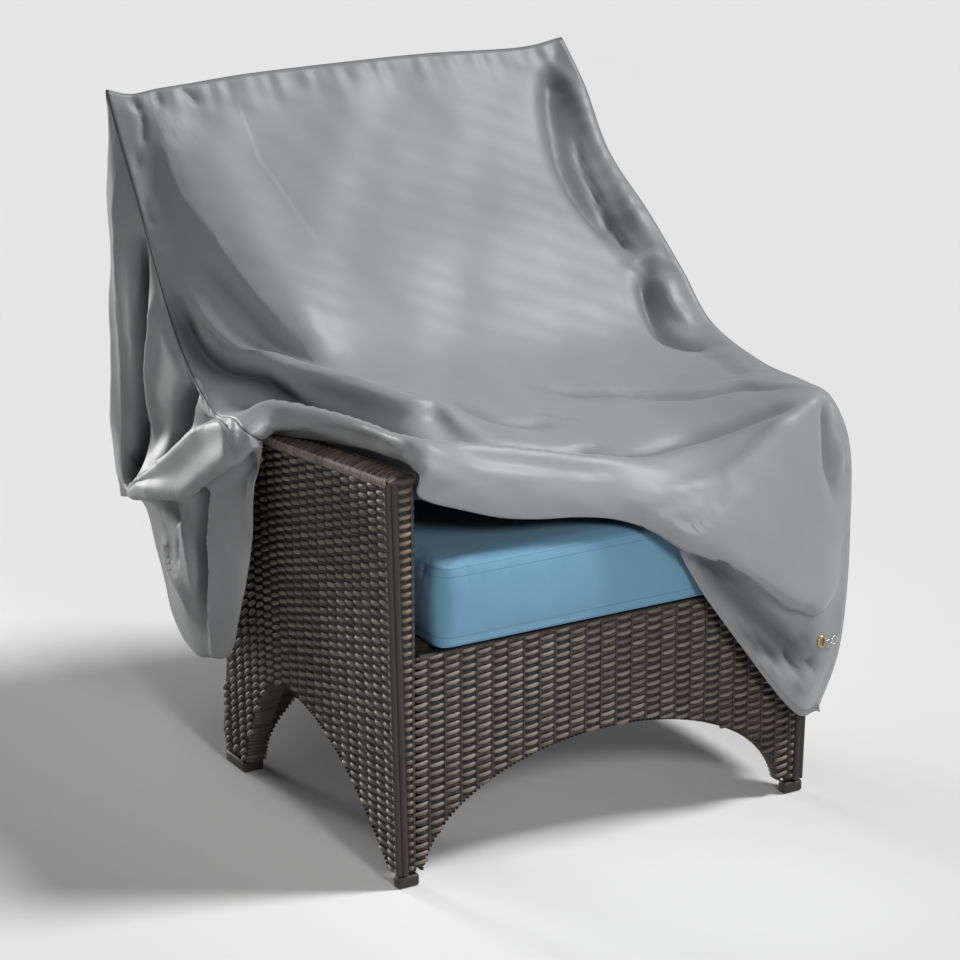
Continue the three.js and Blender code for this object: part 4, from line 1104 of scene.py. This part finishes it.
class Finish:
    """One material's nodes, ending in a Principled shader."""

    def __init__(self, name, **constants):
        self.material = bpy.data.materials.new(name)
        self.material.use_nodes = True
        self.tree = self.material.node_tree
        self.shader = next(node for node in self.tree.nodes if node.type == "BSDF_PRINCIPLED")
        for label, value in constants.items():
            self.shader.inputs[label.replace("_", " ")].default_value = value

    def add(self, kind, settings, values=(), output=0):
        node = self.tree.nodes.new(kind)
        for label, value in settings.items():
            setattr(node, label, value)
        pairs = values.items() if isinstance(values, dict) else enumerate(values)
        for socket, value in pairs:
            self.join(node.inputs[socket], value)
        return Field(self, node.outputs[output])

    def join(self, socket, value):
        if isinstance(value, Field):
            self.tree.links.new(value.socket, socket)
        else:
            socket.default_value = value

    def position(self):
        return self.add("ShaderNodeTexCoord", {}, output="Object")

    def attribute(self, name):
        return self.add("ShaderNodeAttribute", {"attribute_name": name}, output="Fac")

    def noise(self, at, scale, detail=2.0, roughness=0.5):
        return self.add("ShaderNodeTexNoise", {},
                        {"Vector": at, "Scale": scale, "Detail": detail, "Roughness": roughness})

    def stretched(self, at, scale):
        return self.add("ShaderNodeMapping", {}, {"Vector": at, "Scale": scale})

    def mix(self, share, one, other):
        settings = {"data_type": "RGBA"}
        return self.add("ShaderNodeMix", settings, {0: share, 6: one, 7: other}, output=2)

    def ramp(self, value, stops):
        field = self.add("ShaderNodeValToRGB", {}, [value])
        elements = field.socket.node.color_ramp.elements
        for k, (place, colour) in enumerate(stops):
            element = elements[k] if k < 2 else elements.new(place)
            element.position, element.color = place, colour
        return field

    def bump(self, height, distance, strength=1.0, under=None):
        values = {"Height": height, "Distance": distance, "Strength": strength}
        if under is not None:
            values["Normal"] = under
        return self.add("ShaderNodeBump", {}, values)

    def ends(self, **values):
        for label, value in values.items():
            self.join(self.shader.inputs[label.replace("_", " ")], value)
        return self.material


def shade(red, green, blue):
    return (red, green, blue, 1.0)


# ---------- the finishes ----------

# In metres, or for each metre, as the finishes measure.
HEM_STITCHES, STITCH_HALF = 0.009, 0.0007     # from the hem's edge to its stitches, half their width
STITCH_RATE, STITCH_GAP = 260, 0.22           # stitches, and the share of each that is a gap
SEAM_LINE = 0.0012                            # half the width of a dark line at a seam
THREAD_RATE = 9000                            # radians of the sine that stands for the threads
PIPING, PIPING_HALF, CANVAS_SEAM = 0.006, 0.0008, 0.0016
RIB_RATE = 507                                # radians of the sine that stands for rows of strand


def polyester_cloth():
    """Grey polyester: a fine close weave with a soft sheen, slightly darker at its seams, with painted shade
    deep in its folds.
    """
    cloth = Finish("grey_polyester", Sheen_Weight=0.15, Sheen_Roughness=0.5, Specular_IOR_Level=0.42)
    at = cloth.position()
    woven = cloth.add("ShaderNodeUVMap", {"uv_map": "cloth"})
    across = cloth.add("ShaderNodeSeparateXYZ", {}, [woven], output="X")
    down = cloth.add("ShaderNodeSeparateXYZ", {}, [woven], output="Y")
    weave = (across * THREAD_RATE).sine() * (down * THREAD_RATE).sine()
    slubs = cloth.noise(cloth.stretched(woven, (240, 1400, 1)), 1.0, 2.0)
    cloudy = cloth.noise(at, 7.0, 4.0, 0.6)
    from_hem = cloth.attribute("from_hem")
    from_seam = cloth.attribute("from_seam")
    stitched = (from_hem - HEM_STITCHES).size().below(STITCH_HALF)
    stitch = stitched * (across * STITCH_RATE).part().above(STITCH_GAP)
    seam_shade = from_seam.below(SEAM_LINE)
    colour = cloth.mix(cloudy * 0.7 + slubs * 0.3, shade(0.205, 0.209, 0.214), shade(0.235, 0.239, 0.244))
    colour = cloth.mix(stitch * 0.5, colour, shade(0.13, 0.13, 0.135))
    colour = cloth.mix(seam_shade * 0.75, colour, shade(0.07, 0.07, 0.075))
    # painted shade: the cloth's colour is darkened deep in its folds
    colour = cloth.mix(cloth.attribute("in_fold") * 0.8, colour, shade(0.035, 0.038, 0.041))
    fold = (from_hem - HEM_STITCHES).below(0.0) * 0.7
    relief = cloth.bump(fold - stitch, 0.0006, 0.8)
    relief = cloth.bump(weave * 0.25 + slubs, 0.00006, 0.35, relief)
    return cloth.ends(Base_Color=colour, Roughness=0.44 + cloudy * 0.12, Normal=relief)


def resin_strand():
    """Weathered brown resin strand, streaked along its length."""
    strand = Finish("woven_resin", Specular_IOR_Level=0.45)
    at = strand.position()
    tone = strand.attribute("tone")
    streaks = strand.noise(strand.stretched(at, (160, 160, 900)), 1.0, 3.0, 0.7)
    tinted = strand.noise(at, 9.0, 2.0)
    level = tone * 0.8 + streaks * 0.35 - 0.12
    brown = strand.ramp(level, [(0.0, shade(0.005, 0.0045, 0.004)), (0.35, shade(0.045, 0.037, 0.03)),
                                (0.7, shade(0.15, 0.127, 0.104)), (1.0, shade(0.26, 0.228, 0.19))])
    warm = strand.mix(tinted * 0.5, brown, strand.mix(0.5, brown, shade(0.075, 0.05, 0.035)))
    relief = strand.bump(streaks, 0.0003, 0.6)
    return strand.ends(Base_Color=warm, Roughness=0.42 + streaks * 0.25, Normal=relief)


def painted_shade_weave():
    """The same strand where only its general weave shows: inner faces, deck and back. Its near-black colour
    is painted shade, as in the gaps of a weave and behind the strands.
    """
    strand = Finish("woven_resin_painted_shade", Specular_IOR_Level=0.4)
    at = strand.position()
    along = strand.add("ShaderNodeSeparateXYZ", {}, [at], output="Z")
    rows = (along * RIB_RATE).sine() * 0.5 + 0.5
    spots = strand.noise(strand.stretched(at, (60, 60, 300)), 1.0, 2.0)
    # painted shade: the colour is kept near-black, as in the gaps behind the strands
    colour = strand.ramp(rows * 0.5 + spots * 0.5, [(0.25, shade(0.008, 0.007, 0.006)),
                                                    (0.75, shade(0.06, 0.05, 0.042))])
    relief = strand.bump(rows + spots, 0.002, 0.7)
    return strand.ends(Base_Color=colour, Roughness=0.55 + spots * 0.2, Normal=relief)


def blue_canvas():
    canvas = Finish("blue_canvas", Sheen_Weight=0.1, Sheen_Roughness=0.5, Specular_IOR_Level=0.25)
    at = canvas.position()
    threads = canvas.noise(canvas.stretched(at, (1500, 1500, 500)), 1.0, 2.0)
    bands = canvas.noise(canvas.stretched(at, (26, 26, 3)), 1.0, 2.0)
    from_seam = canvas.attribute("from_seam")
    stitched = (from_seam - PIPING).size().below(PIPING_HALF)
    seam = from_seam.below(CANVAS_SEAM)
    colour = canvas.mix(bands * 0.6 + threads * 0.4, shade(0.1, 0.22, 0.32), shade(0.135, 0.275, 0.385))
    colour = canvas.mix(stitched * 0.35 + seam * 0.6, colour, shade(0.03, 0.09, 0.16))
    relief = canvas.bump(threads, 0.0002, 0.5)
    return canvas.ends(Base_Color=colour, Roughness=0.68 + threads * 0.12, Normal=relief)


def dark_plastic():
    plastic = Finish("dark_plastic", Specular_IOR_Level=0.4)
    at = plastic.position()
    grain = plastic.noise(at, 900.0, 2.0)
    scuffs = plastic.noise(at, 70.0, 3.0, 0.7)
    colour = plastic.mix(scuffs, shade(0.022, 0.017, 0.015), shade(0.045, 0.036, 0.032))
    return plastic.ends(Base_Color=colour, Roughness=0.45 + scuffs * 0.2,
                        Normal=plastic.bump(grain, 0.00015, 0.5))


def polished_metal(name, dark, light, roughness):
    metal = Finish(name, Metallic=1.0)
    at = metal.position()
    wear = metal.noise(at, 420.0, 3.0, 0.6)
    colour = metal.mix(wear, shade(*dark), shade(*light))
    return metal.ends(Base_Color=colour, Roughness=roughness + wear * 0.15,
                      Normal=metal.bump(wear, 0.00005, 0.4))


# ---------- the camera, the floor and the light ----------

CAMERA_PLACE = (-2418.4, -3739.7, 2002.1)
CAMERA_TURN, CAMERA_FALL = 30.505, 18.097
CAMERA_LENS = 125.26
WORLD_STRENGTH = 0.12


def pointed(name, data, place, towards):
    item = bpy.data.objects.new(name, data)
    bpy.context.collection.objects.link(item)
    item.location = in_metres(place)
    aim = Vector(in_metres(towards)) - item.location
    item.rotation_euler = aim.to_track_quat("-Z", "Y").to_euler()
    return item


def add_camera():
    turn, fall = math.radians(CAMERA_TURN), math.radians(CAMERA_FALL)
    ahead = np.array([math.sin(turn) * math.cos(fall), math.cos(turn) * math.cos(fall), -math.sin(fall)])
    data = bpy.data.cameras.new("front view")
    data.lens, data.sensor_width = CAMERA_LENS, 36
    camera = pointed("front view", data, CAMERA_PLACE, np.array(CAMERA_PLACE) + 1000 * ahead)
    bpy.context.scene.camera = camera


def add_sun(name, towards_light, strength, softness):
    """Even light from one direction, as from a large far softbox. softness is in degrees."""
    data = bpy.data.lights.new(name, "SUN")
    data.energy, data.angle = strength, math.radians(softness)
    pointed(name, data, 4000 * np.array(towards_light), (0, 0, 0))


def add_spot(name, direction, target, distance, power, width):
    """A lamp with a soft pool of light. width is its cone in degrees."""
    data = bpy.data.lights.new(name, "SPOT")
    data.energy, data.shadow_soft_size = power, 0.3
    data.spot_size, data.spot_blend = math.radians(width), 1.0
    towards_light = unit(np.array(direction, dtype=float))
    pointed(name, data, np.array(target) + distance * towards_light, target)


def add_studio():
    deselect_all()
    bpy.ops.mesh.primitive_circle_add(vertices=96, radius=14, fill_type="NGON", location=(0, 0, 0))
    floor = bpy.context.active_object
    floor.name = "studio floor"
    floor.data.materials.append(pale_floor())
    add_sun("key light", (0.62, -0.26, 0.74), 3.3, 14)
    add_sun("top light", (-0.3, 0.3, 0.9), 0.5, 40)
    add_sun("back light", (-0.2, 0.97, 0.12), 2.1, 12)
    add_spot("low front light", (-150, -880, 450), (-60, 40, 500), 3000, 230, 29)
    world = bpy.data.worlds.new("studio")
    world.use_nodes = True
    background = world.node_tree.nodes["Background"]
    background.inputs["Color"].default_value = (1, 1, 1, 1)
    background.inputs["Strength"].default_value = WORLD_STRENGTH
    bpy.context.scene.world = world
    bpy.context.scene.view_settings.view_transform = "Standard"


def pale_floor():
    floor = Finish("pale floor", Specular_IOR_Level=0.2)
    tint = floor.noise(floor.position(), 0.8, 2.0)
    return floor.ends(Base_Color=floor.mix(tint, shade(0.68, 0.68, 0.68), shade(0.72, 0.72, 0.72)),
                      Roughness=0.85)


# ---------- everything in its place ----------

add_camera()
add_studio()
cover, cloth_rows, cloth_columns, front_cloth = make_cover()
cloth = polyester_cloth()
for name, piece in cover.items():
    give(piece, cloth)
    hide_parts(name + "_panel")
make_chair()
make_cushion()
make_glides()
make_trim(cloth_rows, cloth_columns, front_cloth)
